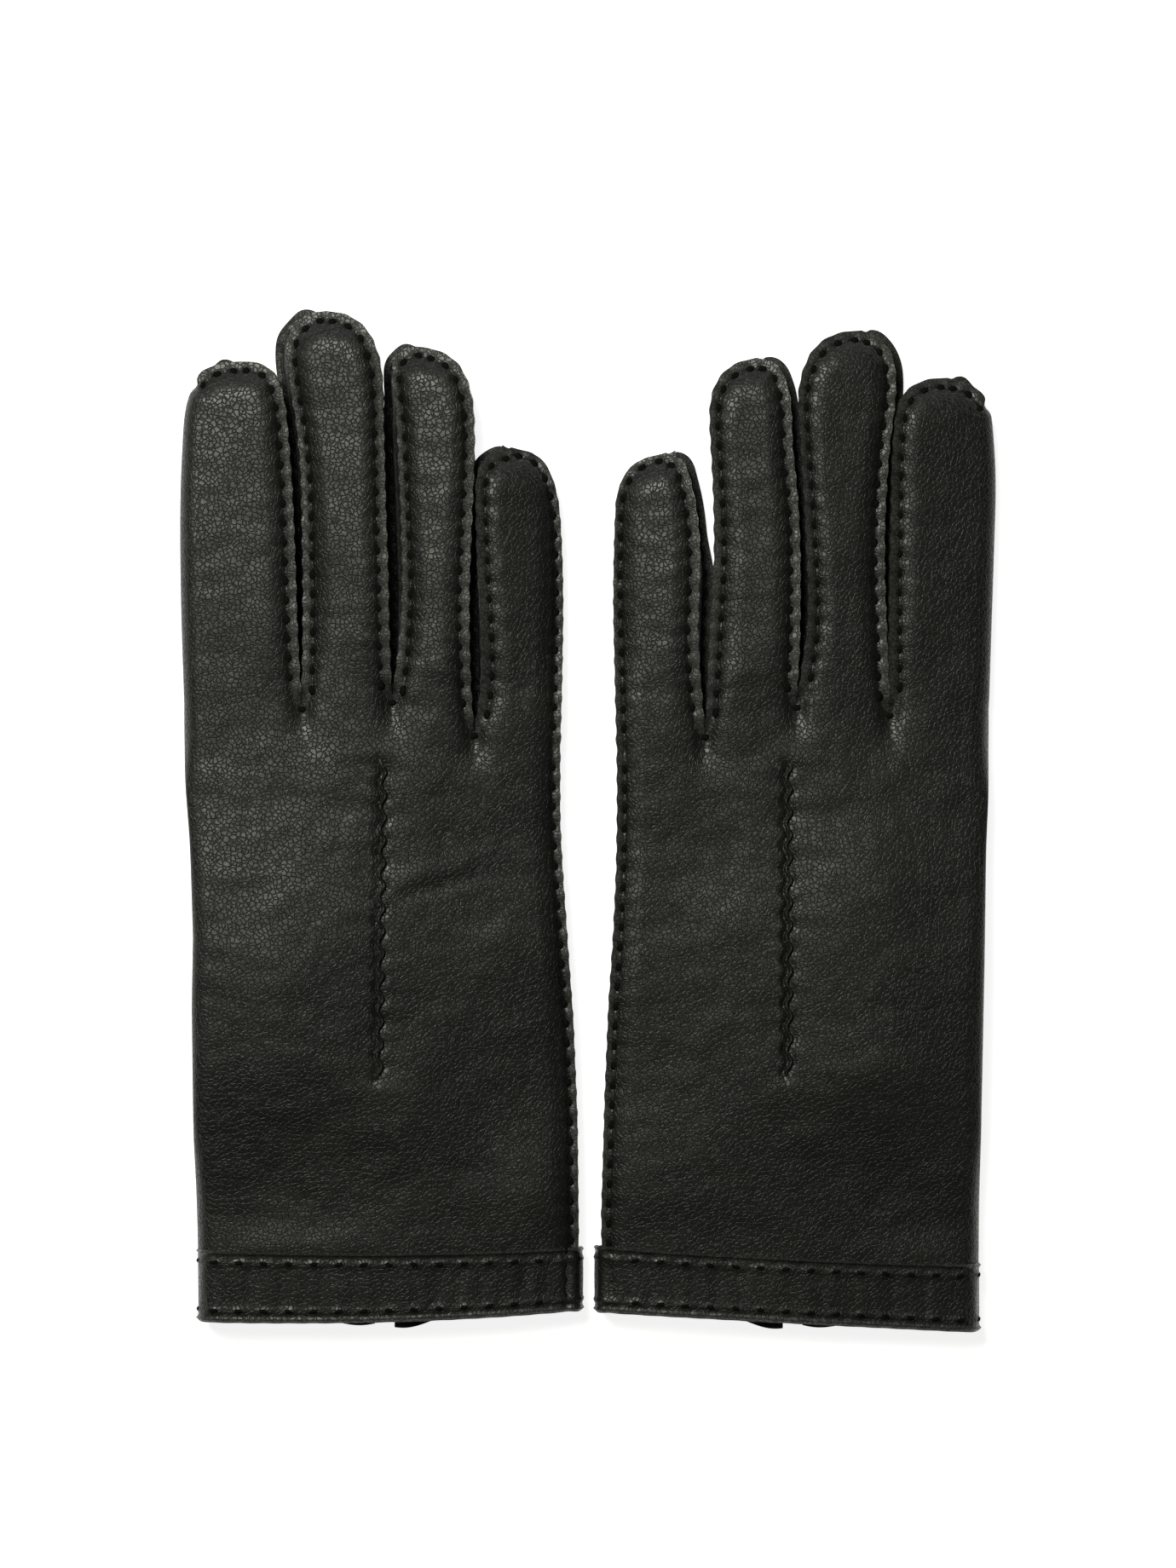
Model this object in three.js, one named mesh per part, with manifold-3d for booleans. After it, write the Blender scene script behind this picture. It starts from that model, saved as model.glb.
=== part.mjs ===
// A pair of hand-sewn leather dress gloves, lying palm down side by side with the thumbs folded under the palms.
// Millimetres. +X runs across the pair, +Y to the fingertips and +Z up. The origin is on the table, under the
// middle of the pair. Inside the code each glove has its own place: y = 0 is the edge of its wrist, x = 0 the
// middle of its wrist, and the index finger is on the -x side. The left glove is the mirror image of the right.
import * as THREE from "three";
import { mergeVertices } from "three/addons/utils/BufferGeometryUtils.js";
import Module from "manifold-3d";

const wasm = await Module();
wasm.setup();

// Driving dimensions of both gloves
const leather = 0.8; // thickness of the leather
const silk = 0.4; // thickness of the lining
const clearance = 0.3; // between pieces that are sewn together
const gloveThickness = 9; // back to palm, lying flat
const seamFlange = 2.4; // leather that stands outside a stitch line
const wristWidth = 93.2; // under the wrist band
const waistWidth = 94; // at the middle of the hand
const waistHeight = 60;
const crotchHeight = 145; // wrist edge to the lowest finger crotch
const fingerGap = 0.8; // between the bases of two fingers
const tipRound = 10.5; // length of the rounded end of a finger
const tipPower = 2.2; // 2 is an ellipse, more is squarer
const quirkWidth = 2.6;
const quirkDepth = 1.2;
const shoulder = 20; // the sides of the hand turn towards the finger bases this far under the lowest crotch
const margin = 5; // a cutter reaches this far past what it cuts
const cutterHeight = 60; // and one that cuts right through is this tall both ways

// Wrist band and the vent in the palm
const bandHeight = 16;
const bandThickness = 0.9;
const ventX = -1.3;
const ventMouth = 4.9;
const ventEnd = 1.2; // width at the blind end
const ventHeight = 40;
const ventBinding = 3.2; // width of the binding round the vent
const bindingThickness = 0.6;

// Raised point on the back of the hand
const pointLength = 79;
const pointWidth = 1.2;
const pointHeight = 0.8;
const pointDrop = 8; // lowest finger crotch down to the point's upper end
const pointStart = crotchHeight - pointDrop - pointLength;

// Thumb, folded under the palm
const thumbThickness = 7.4;
const thumbDrop = 73; // lowest finger crotch down to the middle of the thumb hole
const thumbX = -34; // middle of the thumb hole
const thumbY = crotchHeight - thumbDrop;
const thumbBaseRadius = 14.5;
const thumbTipRadius = 12;
const thumbLength = 44; // from the middle of the hole to the middle of the round tip
const thumbTurn = 7; // degrees that the thumb lies across the palm
const thumbHoleRadius = 11;
const palmHoleRadius = 12.2;
const thumbSlack = 0.4; // between the folded thumb and the palm over it
const thumbRound = 4; // the palm is still at its full height this far past the thumb's base
const rampLength = 20; // the palm rises over the thumb along this length of the hand
const ulnarRampLength = 28; // and falls to the little finger side across this width

// Each finger: width at its base, middle and tip, its length, how far its middle and tip lie aside, and how much
// higher than the lowest crotch it starts. The two gloves lie a little differently, so each has its own list.
const gloves = {
  right: {
    mirror: false,
    handShift: -4.3,
    pointX: -1.9,
    fingers: {
      index: { widths: [29, 28.9, 26.5], length: 85.2, aside: [-1.1, -1.2], rise: 6 },
      middle: { widths: [22, 21.2, 22.5], length: 97.4, aside: [-0.6, -4.6], rise: 7 },
      ring: { widths: [20.6, 18.6, 18.4], length: 90.5, aside: [-0.8, -2.8], rise: 5 },
      little: { widths: [19.8, 21.4, 19.6], length: 70.3, aside: [-0.6, -1.8], rise: 0 },
    },
  },
  left: {
    mirror: true,
    handShift: -3.9,
    pointX: -0.4,
    fingers: {
      index: { widths: [25.6, 26.2, 24.6], length: 83.1, aside: [-1, -1.2], rise: 6 },
      middle: { widths: [22.6, 20, 22.5], length: 94.2, aside: [-2, -2.8], rise: 7 },
      ring: { widths: [21.6, 21.2, 20], length: 88.8, aside: [-2.4, -1.3], rise: 5 },
      little: { widths: [20.6, 21.8, 20], length: 70, aside: [0.3, -0.2], rise: 0 },
    },
  },
};
const fingerNames = ["index", "middle", "ring", "little"];
const pairGap = 3.6; // between the two gloves
const pairStagger = 1.4; // the left glove lies this much further down

const black = new THREE.MeshStandardMaterial({ color: 0x1b1b19, roughness: 0.5, metalness: 0 });
const charcoal = new THREE.MeshStandardMaterial({ color: 0x2a2a2d, roughness: 0.7, metalness: 0 });

function toSolid(geometry) {
  const bare = geometry.clone();
  bare.deleteAttribute("normal");
  bare.deleteAttribute("uv");
  const merged = mergeVertices(bare, 1e-4);
  return new wasm.Manifold(
    new wasm.Mesh({
      numProp: 3,
      vertProperties: new Float32Array(merged.attributes.position.array),
      triVerts: new Uint32Array(merged.index.array),
    }),
  );
}

function toGeometry(solid) {
  const mesh = solid.getMesh();
  const geometry = new THREE.BufferGeometry();
  geometry.setAttribute("position", new THREE.BufferAttribute(mesh.vertProperties, mesh.numProp));
  geometry.setIndex(new THREE.BufferAttribute(mesh.triVerts, 1));
  geometry.computeVertexNormals();
  return geometry;
}

// An upright prism over an outline, from z = low to z = high.
function prism(points, low, high) {
  const shape = new THREE.Shape(points.map(([x, y]) => new THREE.Vector2(x, y)));
  const geometry = new THREE.ExtrudeGeometry(shape, { depth: high - low, bevelEnabled: false });
  geometry.translate(0, 0, low);
  return toSolid(geometry);
}

const rectangle = (x0, y0, x1, y1) => [
  [x0, y0],
  [x1, y0],
  [x1, y1],
  [x0, y1],
];

function circle(x, y, radius, steps = 20) {
  return Array.from({ length: steps }, (_, i) => {
    const angle = (2 * Math.PI * i) / steps;
    return [x + radius * Math.cos(angle), y + radius * Math.sin(angle)];
  });
}

const wristLift = clearance + bandThickness; // the wrist band lies on the table, the palm just above it
const thumbRoom = thumbThickness + thumbSlack - wristLift; // extra height of the palm over the thumb
const thumbAngle = THREE.MathUtils.degToRad(thumbTurn);
const thumbTipX = thumbX + thumbLength * Math.sin(thumbAngle);
const thumbTipY = thumbY + thumbLength * Math.cos(thumbAngle);
const rampStart = thumbY - thumbBaseRadius - thumbRound; // the palm is up over the thumb from here
const ulnarRamp = thumbTipX + thumbTipRadius + thumbRound / 2;
const farEnd = crotchHeight - 1; // the palm is back on the table here
const farRamp = Math.min(thumbTipY + thumbTipRadius + 1, farEnd - 7); // and starts to come down here
const far = 75; // beyond every edge of the hand
const gridX = [-far, ulnarRamp, ulnarRamp + ulnarRampLength / 2, ulnarRamp + ulnarRampLength, far];
const gridY = [-2 * margin, rampStart - rampLength, rampStart, farRamp, (farRamp + farEnd) / 2, farEnd, crotchHeight + shoulder];

// Height of the palm's underside over the table.
function floorHeight(x, y) {
  const up = THREE.MathUtils.clamp((y - rampStart + rampLength) / rampLength, 0, 1);
  const down = THREE.MathUtils.clamp((farEnd - y) / (farEnd - farRamp), 0, 1);
  const across = THREE.MathUtils.clamp((ulnarRamp + ulnarRampLength - x) / ulnarRampLength, 0, 1);
  return down * (wristLift + thumbRoom * up * across);
}

// A layer of the hand, between two heights over the palm's underside, cut to an outline.
function handLayer(low, high, points) {
  const [columns, rows] = [gridX.length - 1, gridY.length - 1];
  const box = new THREE.BoxGeometry(1, 1, 1, columns, rows, 1);
  const position = box.attributes.position;
  for (let i = 0; i < position.count; i++) {
    const x = gridX[Math.round((position.getX(i) + 0.5) * columns)];
    const y = gridY[Math.round((position.getY(i) + 0.5) * rows)];
    position.setXYZ(i, x, y, floorHeight(x, y) + (position.getZ(i) < 0 ? low : high));
  }
  // A box splits the squares of its underside along the other diagonal than its top's. Here both are the same,
  // so that every layer has the same thickness all over.
  const corners = box.index.array;
  const underside = box.groups[5];
  for (let i = underside.start; i < underside.start + underside.count; i += 6) {
    const [topLeft, bottomLeft, topRight, , bottomRight] = corners.slice(i, i + 6);
    corners.set([topLeft, bottomLeft, bottomRight, topLeft, bottomRight, topRight], i);
  }
  return toSolid(box).intersect(prism(points, -cutterHeight, cutterHeight));
}

// Where each finger of a glove starts: its two edges, the middle of its base and its height, and its tip.
function layFingers(glove) {
  const widths = fingerNames.map((name) => glove.fingers[name].widths[0]);
  const total = widths.reduce((sum, width) => sum + width, 0) + fingerGap * (widths.length - 1);
  let edge = glove.handShift - total / 2;
  fingerNames.forEach((name, i) => {
    const finger = glove.fingers[name];
    finger.name = name;
    finger.low = edge;
    finger.high = edge + widths[i];
    finger.x = edge + widths[i] / 2;
    finger.y = crotchHeight + finger.rise;
    finger.tipX = finger.x + finger.aside[1];
    edge = finger.high + fingerGap;
  });
}

// A point on a finger's edge. along is 0 at the base and 1 at the tip, way is -1 on the index side and 1 on the
// little finger side, and inset is how far inside the edge it lies.
function fingerEdge(finger, along, way, inset) {
  const [base, middle, tip] = finger.widths;
  const width = along < 0.5 ? base + (middle - base) * 2 * along : middle + (tip - middle) * (2 * along - 1);
  const toTip = Math.min(1, ((1 - along) * finger.length) / tipRound);
  const round = Math.pow(1 - Math.pow(1 - toTip, tipPower), 1 / tipPower);
  const aside = finger.aside[0] * 4 * along * (1 - along) + finger.aside[1] * along * (2 * along - 1);
  const half = Math.max(0, (width / 2 - inset) * round);
  return [finger.x + aside + way * half, finger.y + along * (finger.length - inset)];
}

// Places along a finger where its outline gets a point.
function fingerStations(finger) {
  const round = tipRound / finger.length;
  return [0, 0.3, 0.6, 1 - round, 1 - 0.55 * round, 1 - 0.25 * round, 1 - 0.07 * round];
}

function fingerOutline(finger, inset = 0) {
  const stations = fingerStations(finger);
  const up = [...stations, 1].map((along) => fingerEdge(finger, along, 1, inset));
  const down = stations.map((along) => fingerEdge(finger, along, -1, inset)).reverse();
  return [...up, ...down];
}

// A strip one leather thick along one side of a finger, from its base to the middle of its tip.
function wallOutline(finger, way, insetAt) {
  const stations = [...fingerStations(finger), 1];
  const line = (extra) =>
    stations.map((along) => {
      const [x, y] = fingerEdge(finger, along, way, insetAt(along) + extra);
      return [way < 0 ? Math.min(x, finger.tipX - clearance / 2) : Math.max(x, finger.tipX + clearance / 2), y];
    });
  return [...line(0), ...line(leather).reverse()];
}

// The hand's outline from the wrist up to the finger bases; inset on the fold side and on the seam side.
function handOutline(glove, insetFold = 0, insetSeam = 0, top = clearance / 2, bottom = 0) {
  const { index, little } = glove.fingers;
  const outline = [
    [-wristWidth / 2 + insetFold, bottom],
    [wristWidth / 2 - insetSeam, bottom],
    [waistWidth / 2 - insetSeam, waistHeight],
    [little.high - insetSeam, crotchHeight - shoulder],
  ];
  for (const name of [...fingerNames].reverse()) {
    const finger = glove.fingers[name];
    const right = name === "little" ? finger.high - insetSeam : finger.high + fingerGap / 2;
    const left = name === "index" ? finger.low + insetFold : finger.low - fingerGap / 2;
    outline.push([right, finger.y - top], [left, finger.y - top]);
  }
  outline.push([index.low + insetFold, crotchHeight - shoulder], [-waistWidth / 2 + insetFold, waistHeight]);
  return outline;
}

// The vent: a narrow slot in the palm that widens to the wrist. grow widens it all round.
function ventOutline(grow = 0) {
  return [
    [ventX - ventMouth / 2 - grow, -3 * margin],
    [ventX + ventMouth / 2 + grow, -3 * margin],
    [ventX + ventMouth / 2 + grow, bandHeight],
    [ventX + ventEnd / 2 + grow, ventHeight + grow],
    [ventX - ventEnd / 2 - grow, ventHeight + grow],
    [ventX - ventMouth / 2 - grow, bandHeight],
  ];
}

// Two circles and their common tangents: the thumb, seen from above.
function thumbOutline(inset = 0) {
  const arcSteps = 9;
  const arc = (x, y, radius, from) =>
    Array.from({ length: arcSteps + 1 }, (_, i) => {
      const angle = from - thumbAngle + (Math.PI * i) / arcSteps;
      return [x + radius * Math.cos(angle), y + radius * Math.sin(angle)];
    });
  return [
    ...arc(thumbTipX, thumbTipY, thumbTipRadius - inset, 0),
    ...arc(thumbX, thumbY, thumbBaseRadius - inset, Math.PI),
  ];
}

function add(group, name, solid, material) {
  const mesh = new THREE.Mesh(toGeometry(solid), material);
  mesh.name = name;
  group.add(mesh);
}

// Back panel, palm panel, fourchettes and lining of one finger.
function makeFinger(group, glove, hand, finger) {
  const under = leather + clearance; // between a panel and what stands on it
  const top = gloveThickness - leather;
  const outline = fingerOutline(finger);
  let back = prism(outline, top, gloveThickness);
  let palm = prism(outline, 0, leather);
  const flangeInset = () => seamFlange;
  // The leather is folded along the outside of the index finger, and its flange grows from nothing round the tip.
  const foldInset = (along) => seamFlange * Math.max(0, 1 - ((1 - along) * finger.length) / tipRound);
  if (finger.name === "index") {
    const fold = wallOutline(finger, -1, foldInset);
    back = back.add(prism(fold, under, top + leather / 2));
  } else {
    const side = wallOutline(finger, -1, flangeInset);
    add(group, `${hand}_${finger.name}_fourchette_thumb_side`, prism(side, under, top - clearance), black);
  }
  const outer = wallOutline(finger, 1, flangeInset);
  if (finger.name === "little") palm = palm.add(prism(outer, leather / 2, top - clearance));
  else add(group, `${hand}_${finger.name}_fourchette_outer_side`, prism(outer, under, top - clearance), black);
  add(group, `${hand}_${finger.name}_back`, back, black);
  add(group, `${hand}_${finger.name}_palm`, palm, black);

  const inset = seamFlange + under;
  const bag = prism(fingerOutline(finger, inset), under, top - clearance);
  const mouth = fingerOutline(finger, inset + silk).map(([x, y]) => [x, y < finger.y + 0.01 ? y - 1 : y]);
  const room = prism(mouth, under + silk, top - clearance - silk);
  add(group, `${hand}_${finger.name}_lining`, bag.subtract(room), charcoal);
}

// An upright strip along one side of the hand, a distance inside its edge. way is -1 for the index side.
function sideStrip(glove, way, inset, width) {
  const finger = way < 0 ? glove.fingers.index : glove.fingers.little;
  const edge = way < 0 ? finger.low : finger.high;
  const line = (extra) => [
    [way * (wristWidth / 2 - inset - extra), 0],
    [way * (waistWidth / 2 - inset - extra), waistHeight],
    [edge - way * (inset + extra), crotchHeight - shoulder],
    [edge - way * (inset + extra), finger.y - clearance / 2],
  ];
  return [...line(0), ...line(width).reverse()];
}

// Back of the hand: panel, the fold on the index side and the raised point.
function makeBack(group, glove, hand) {
  const top = gloveThickness - leather;
  const [pointLow, pointHigh] = [glove.pointX - pointWidth / 2, glove.pointX + pointWidth / 2];
  const fold = handLayer(leather + clearance, top + leather / 2, sideStrip(glove, -1, 0, leather));
  const pointOutline = rectangle(pointLow, pointStart, pointHigh, pointStart + pointLength);
  const point = handLayer(top, gloveThickness + pointHeight, pointOutline);
  add(group, `${hand}_hand_back`, handLayer(top, gloveThickness, handOutline(glove)).add(fold).add(point), black);
}

// Palm: panel with the thumb hole and the vent, and the upright of the seam on the little finger side.
function makePalm(group, glove, hand) {
  const top = gloveThickness - leather - clearance;
  const hole = prism(circle(thumbX, thumbY, palmHoleRadius), -margin, thumbThickness + 2 * margin);
  const vent = prism(ventOutline(), -margin, gloveThickness / 2);
  const panel = handLayer(0, leather, handOutline(glove)).subtract(hole).subtract(vent);
  const seam = handLayer(leather / 2, top, sideStrip(glove, 1, seamFlange, leather));
  add(group, `${hand}_hand_palm`, panel.add(seam), black);

  const binding = ventOutline(ventBinding).map(([x, y]) => [x, Math.max(y, bandHeight + clearance)]);
  const bound = handLayer(-clearance - bindingThickness, -clearance, binding);
  add(group, `${hand}_vent_binding`, bound.subtract(prism(ventOutline(), -cutterHeight, cutterHeight)), black);
}

// The outline of the quirk on the outer side of a finger, with room all round it.
function quirkOutline(glove, i, room = 0) {
  const [finger, next] = [glove.fingers[fingerNames[i]], glove.fingers[fingerNames[i + 1]]];
  const x = finger.high + fingerGap / 2;
  const y = Math.min(finger.y, next.y) - clearance;
  const half = quirkWidth / 2 + room;
  return rectangle(x - half, y - quirkDepth - room, x + half, y + room);
}

// The quirks: the small gussets that close the crotches between the fingers.
function makeQuirks(group, glove, hand) {
  const under = leather + clearance;
  for (let i = 0; i < fingerNames.length - 1; i++) {
    const quirk = handLayer(under, gloveThickness - under, quirkOutline(glove, i));
    add(group, `${hand}_quirk_${fingerNames[i]}_${fingerNames[i + 1]}`, quirk, black);
  }
}

// A stretch of the wrist, from one height to another, a distance outside the hand's edges.
function wristOutline(grow, from, to) {
  const half = (y) => (wristWidth + ((waistWidth - wristWidth) * y) / waistHeight) / 2 + grow;
  return [
    [-half(from), from],
    [half(from), from],
    [half(to), to],
    [-half(to), to],
  ];
}

// Wrist band: one long strip over the back, round the fold and on to the vent, and a short one on the palm from
// the vent to the side seam.
function makeBand(group, glove, hand) {
  const skin = clearance + bandThickness;
  const tube = handLayer(-skin, gloveThickness + skin, wristOutline(skin, 0, bandHeight)).subtract(
    handLayer(-clearance, gloveThickness + clearance, wristOutline(clearance, -margin, bandHeight + margin)),
  );
  const vent = handLayer(-margin, gloveThickness / 2, ventOutline());
  const shortSide = (gap) =>
    handLayer(-margin, gloveThickness / 2 + gap, rectangle(ventX, -margin, far - margin, bandHeight + margin));
  add(group, `${hand}_wrist_band`, tube.subtract(shortSide(0)).subtract(vent), black);
  add(group, `${hand}_wrist_band_short`, tube.intersect(shortSide(-clearance)).subtract(vent), black);
}

// Lining of the hand: a flat tube, cut away round the quirks.
function makeHandLining(group, glove, hand) {
  const under = leather + clearance;
  const outline = handOutline(glove, under, seamFlange + under, clearance, clearance);
  const inner = handOutline(glove, under + silk, seamFlange + under + silk, -margin, -margin);
  const room = handLayer(under + silk, gloveThickness - under - silk, inner);
  const hole = prism(circle(thumbX, thumbY, palmHoleRadius), -margin, wristLift + thumbRoom + gloveThickness / 2);
  let tube = handLayer(under, gloveThickness - under, outline).subtract(room).subtract(hole);
  tube = tube.subtract(prism(ventOutline(clearance), -margin, gloveThickness / 2));
  for (let i = 0; i < fingerNames.length - 1; i++) {
    tube = tube.subtract(prism(quirkOutline(glove, i, clearance), -margin, gloveThickness));
  }
  add(group, `${hand}_hand_lining`, tube, charcoal);
}

// Thumb and its lining: flat bags with a round opening at the top, under the hole in the palm.
function makeThumb(group, glove, hand) {
  const under = leather + clearance;
  const bag = (inset, low, high) => prism(thumbOutline(inset), low, high);
  const opening = prism(circle(thumbX, thumbY, thumbHoleRadius), thumbThickness / 2, cutterHeight);
  const skin = bag(0, 0, thumbThickness).subtract(bag(leather, leather, thumbThickness - leather));
  add(group, `${hand}_thumb`, skin.subtract(opening), black);
  const lined = bag(under, under, thumbThickness - under).subtract(
    bag(under + silk, under + silk, thumbThickness - under - silk),
  );
  add(group, `${hand}_thumb_lining`, lined.subtract(opening), charcoal);
}

function makeGlove(hand) {
  const glove = gloves[hand];
  const group = new THREE.Group();
  layFingers(glove);
  makeBack(group, glove, hand);
  makePalm(group, glove, hand);
  for (const name of fingerNames) makeFinger(group, glove, hand, glove.fingers[name]);
  makeQuirks(group, glove, hand);
  makeBand(group, glove, hand);
  makeHandLining(group, glove, hand);
  makeThumb(group, glove, hand);
  group.scale.x = glove.mirror ? -1 : 1;
  return group;
}

// The right glove lies on the -x side of the pair.
const pair = new THREE.Group();
const [right, left] = [makeGlove("right"), makeGlove("left")];
pair.add(right, left);
right.position.x = -pairGap / 2 - new THREE.Box3().setFromObject(right).max.x;
left.position.x = pairGap / 2 - new THREE.Box3().setFromObject(left).min.x;
left.position.y = -pairStagger;
const middle = new THREE.Box3().setFromObject(pair).getCenter(new THREE.Vector3());
for (const glove of pair.children) glove.position.sub(new THREE.Vector3(middle.x, middle.y, 0));

export default pair;
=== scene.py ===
import math
import bpy
from mathutils import Matrix, Vector, noise


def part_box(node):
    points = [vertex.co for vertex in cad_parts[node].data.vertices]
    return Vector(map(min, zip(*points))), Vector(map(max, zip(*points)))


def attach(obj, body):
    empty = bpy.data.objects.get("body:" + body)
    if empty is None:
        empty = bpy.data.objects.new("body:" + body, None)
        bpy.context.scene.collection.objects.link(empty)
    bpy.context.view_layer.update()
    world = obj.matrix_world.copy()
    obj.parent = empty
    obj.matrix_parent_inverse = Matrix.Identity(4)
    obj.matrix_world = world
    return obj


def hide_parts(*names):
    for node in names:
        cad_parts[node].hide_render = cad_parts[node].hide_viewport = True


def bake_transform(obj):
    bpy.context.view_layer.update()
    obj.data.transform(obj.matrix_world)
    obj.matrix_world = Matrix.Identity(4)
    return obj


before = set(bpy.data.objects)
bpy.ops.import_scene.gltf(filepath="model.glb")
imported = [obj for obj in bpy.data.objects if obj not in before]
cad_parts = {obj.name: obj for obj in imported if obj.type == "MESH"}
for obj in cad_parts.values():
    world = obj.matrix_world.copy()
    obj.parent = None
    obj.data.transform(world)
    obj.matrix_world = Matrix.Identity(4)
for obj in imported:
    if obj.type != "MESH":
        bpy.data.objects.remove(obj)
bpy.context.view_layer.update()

# A pair of hand-sewn leather dress gloves, palms down. Sizes are in millimetres in each glove's own place:
# y = 0 is the edge of the wrist, x = 0 its middle, and the index finger is on the -x side. The left glove is
# made the same way and mirrored. toWorld() turns a place on a glove into metres in the scene.
mm = 0.001

leatherSizes = {
    "thickness": 0.8,
    "stitchPitch": 4.9,
    "stitchInset": 2.6,     # finger edge to stitch line
    "sideInset": 1.9,       # the same along the side of the hand
    "crown": 1.25,          # how far the seam edge lies under the middle of a finger
    "groove": 0.5,
    "pucker": 0.16,
    "foldRadius": 4.6,
    "palmShift": 2.4,       # the palm side of a finger lies this much towards the index side
}

# Edges of the fingers' back panels, from the crotch to the tip, on the low (index) and the high side.
rightGlove = {
    "name": "right",
    "sign": 1,
    "fold": [
        (-47.4, -3), (-47.6, 20), (-48.3, 44), (-48.7, 78), (-48.4, 95), (-49.0, 112),
        (-49.7, 129), (-51.1, 153),
    ],
    "seam": [
        (47.0, -3), (47.2, 20), (46.9, 50), (45.9, 74), (44.6, 92), (43.4, 109), (42.6, 125),
        (42.6, 142),
    ],
    "hem": (0.4, 0.5, 2.8),
    "bandTop": (17.0, 16.4, 17.4),
    "point": ((-2.1, 59.0), (-1.2, 139.3)),
    "bend": (0.0003, 0.0014),
    "crease": True,
    "swells": [
        (-20, 17, 22, 8, 1.0), (36, 30, 13, 15, 1.4), (4, 50, 12, 10, 0.7), (-26, 84, 11, 9, 0.25),
        (27, 93, 14, 8, 0.5),
    ],
    "fingers": {
        "index": {
            "tilt": 0.03,
            "low": [
                (-51.1, 153), (-51.9, 178), (-52.1, 200), (-51.6, 216), (-50.6, 227),
                (-47.6, 234.4), (-42.5, 237.5),
            ],
            "tip": (-37, 238.1),
            "high": [
                (-21.5, 152.6), (-22.5, 171.5), (-23.2, 192), (-23.9, 207), (-24.9, 220.5),
                (-26, 229), (-28.3, 235), (-32.5, 237.7),
            ],
        },
        "middle": {
            "tilt": 0.13,
            "palmShift": 3.4,
            "low": [
                (-21.5, 152.6), (-21.3, 178), (-21.5, 196), (-21.8, 210), (-22.9, 222),
                (-24.3, 231), (-25.2, 240), (-24.2, 245.6), (-20, 249.8),
            ],
            "tip": (-15.5, 250.6),
            "high": [
                (0.9, 154.2), (0.3, 171), (0, 185), (-0.5, 200), (-1, 218), (-1.6, 234),
                (-3.3, 241.8), (-6, 246.5), (-10.5, 249.6),
            ],
        },
        "ring": {
            "tilt": 0.15,
            "low": [
                (0.9, 154.2), (2.6, 168), (3.4, 182), (3.1, 198), (2.5, 213), (1.8, 226),
                (0.9, 234), (1.6, 239), (5, 241.7),
            ],
            "tip": (9, 241.6),
            "high": [
                (21.2, 146), (20.4, 160), (20.1, 178), (20.6, 195), (21.2, 210), (21.2, 224),
                (20, 231.5), (17.5, 237), (13.5, 240.2),
            ],
        },
        "little": {
            "tilt": -0.1,
            "low": [
                (21.2, 146), (23, 158), (23.1, 171), (22.3, 186), (21.9, 200), (22, 209),
                (24.4, 214.4),
            ],
            "tip": (30.5, 216.8),
            "high": [
                (42.6, 142), (43.1, 160), (43.3, 180), (42.8, 196), (41.8, 205), (39.5, 211.5),
                (36, 215.2),
            ],
        },
    },
}
leftGlove = {
    "name": "left",
    "sign": -1,
    "fold": [(-47.2, -3), (-47.4, 20), (-47.7, 54), (-48.4, 88), (-48.9, 117), (-49.4, 138), (-50, 153)],
    "seam": [
        (46.3, -3), (46.6, 28), (45.8, 55), (44.8, 80), (43.6, 97), (42.9, 113), (42.5, 133),
        (42.7, 143),
    ],
    "hem": (-0.8, 1.6, 4.0),
    "bandTop": (14.8, 16.6, 19.2),
    "point": ((0.2, 61.5), (0.2, 140.1)),
    "bend": (0.0008, 0.0006),
    "crease": False,
    "swells": [
        (-36, 15, 12, 8, 0.9), (28, 40, 16, 20, 1.1), (16, 99, 9, 8, 0.6), (-20, 112, 14, 12, 0.9),
        (-22, 62, 16, 8, 0.6),
    ],
    "fingers": {
        "index": {
            "tilt": 0.06,
            "low": [
                (-50, 153), (-50.6, 172), (-51.2, 190), (-51.7, 208), (-51.2, 220), (-50.2, 228),
                (-47.8, 232), (-44.5, 234.3),
            ],
            "tip": (-39.5, 235.5),
            "high": [
                (-25, 152.4), (-24.8, 168), (-24.9, 183), (-25.2, 197), (-25.5, 211), (-26, 221),
                (-27.3, 229), (-30, 232.8), (-34.5, 235),
            ],
        },
        "middle": {
            "tilt": 0.02,
            "low": [
                (-25, 152.4), (-24.5, 168), (-23.9, 183), (-23.8, 197), (-24.2, 207), (-25, 218),
                (-26.4, 230), (-26.3, 238), (-24.6, 243), (-22, 245.6),
            ],
            "tip": (-18, 247.2),
            "high": [
                (-1.9, 154.4), (-4.3, 172), (-4.7, 183), (-4.3, 193), (-3.6, 207), (-2.9, 218),
                (-2.4, 231), (-4.2, 239), (-7.5, 243.8), (-12.5, 246.5),
            ],
        },
        "ring": {
            "tilt": -0.04,
            "low": [
                (-1.9, 154.4), (-2.5, 168), (-2.7, 183), (-2.5, 197), (-1.9, 207), (-0.8, 218),
                (-0.3, 229), (1.2, 235.5), (3.4, 239),
            ],
            "tip": (8, 240.4),
            "high": [
                (20.8, 147), (19.8, 168), (18.8, 186), (18.6, 197), (19, 211), (19.7, 225),
                (19, 231.6), (16.8, 236), (13, 239),
            ],
        },
        "little": {
            "closed": (0.48, 0.7),
            "tilt": -0.12,
            "low": [
                (20.8, 147), (22.6, 168), (22.4, 183), (22.3, 193), (23.2, 203), (24.8, 210.5),
                (26.5, 214.8),
            ],
            "tip": (30.5, 216.8),
            "high": [
                (42.7, 143), (43.1, 156), (43.6, 181), (43.1, 202), (42.3, 207.5), (40.2, 212),
                (36.3, 215.2),
            ],
        },
    },
}
fingerNames = ["index", "middle", "ring", "little"]


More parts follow.
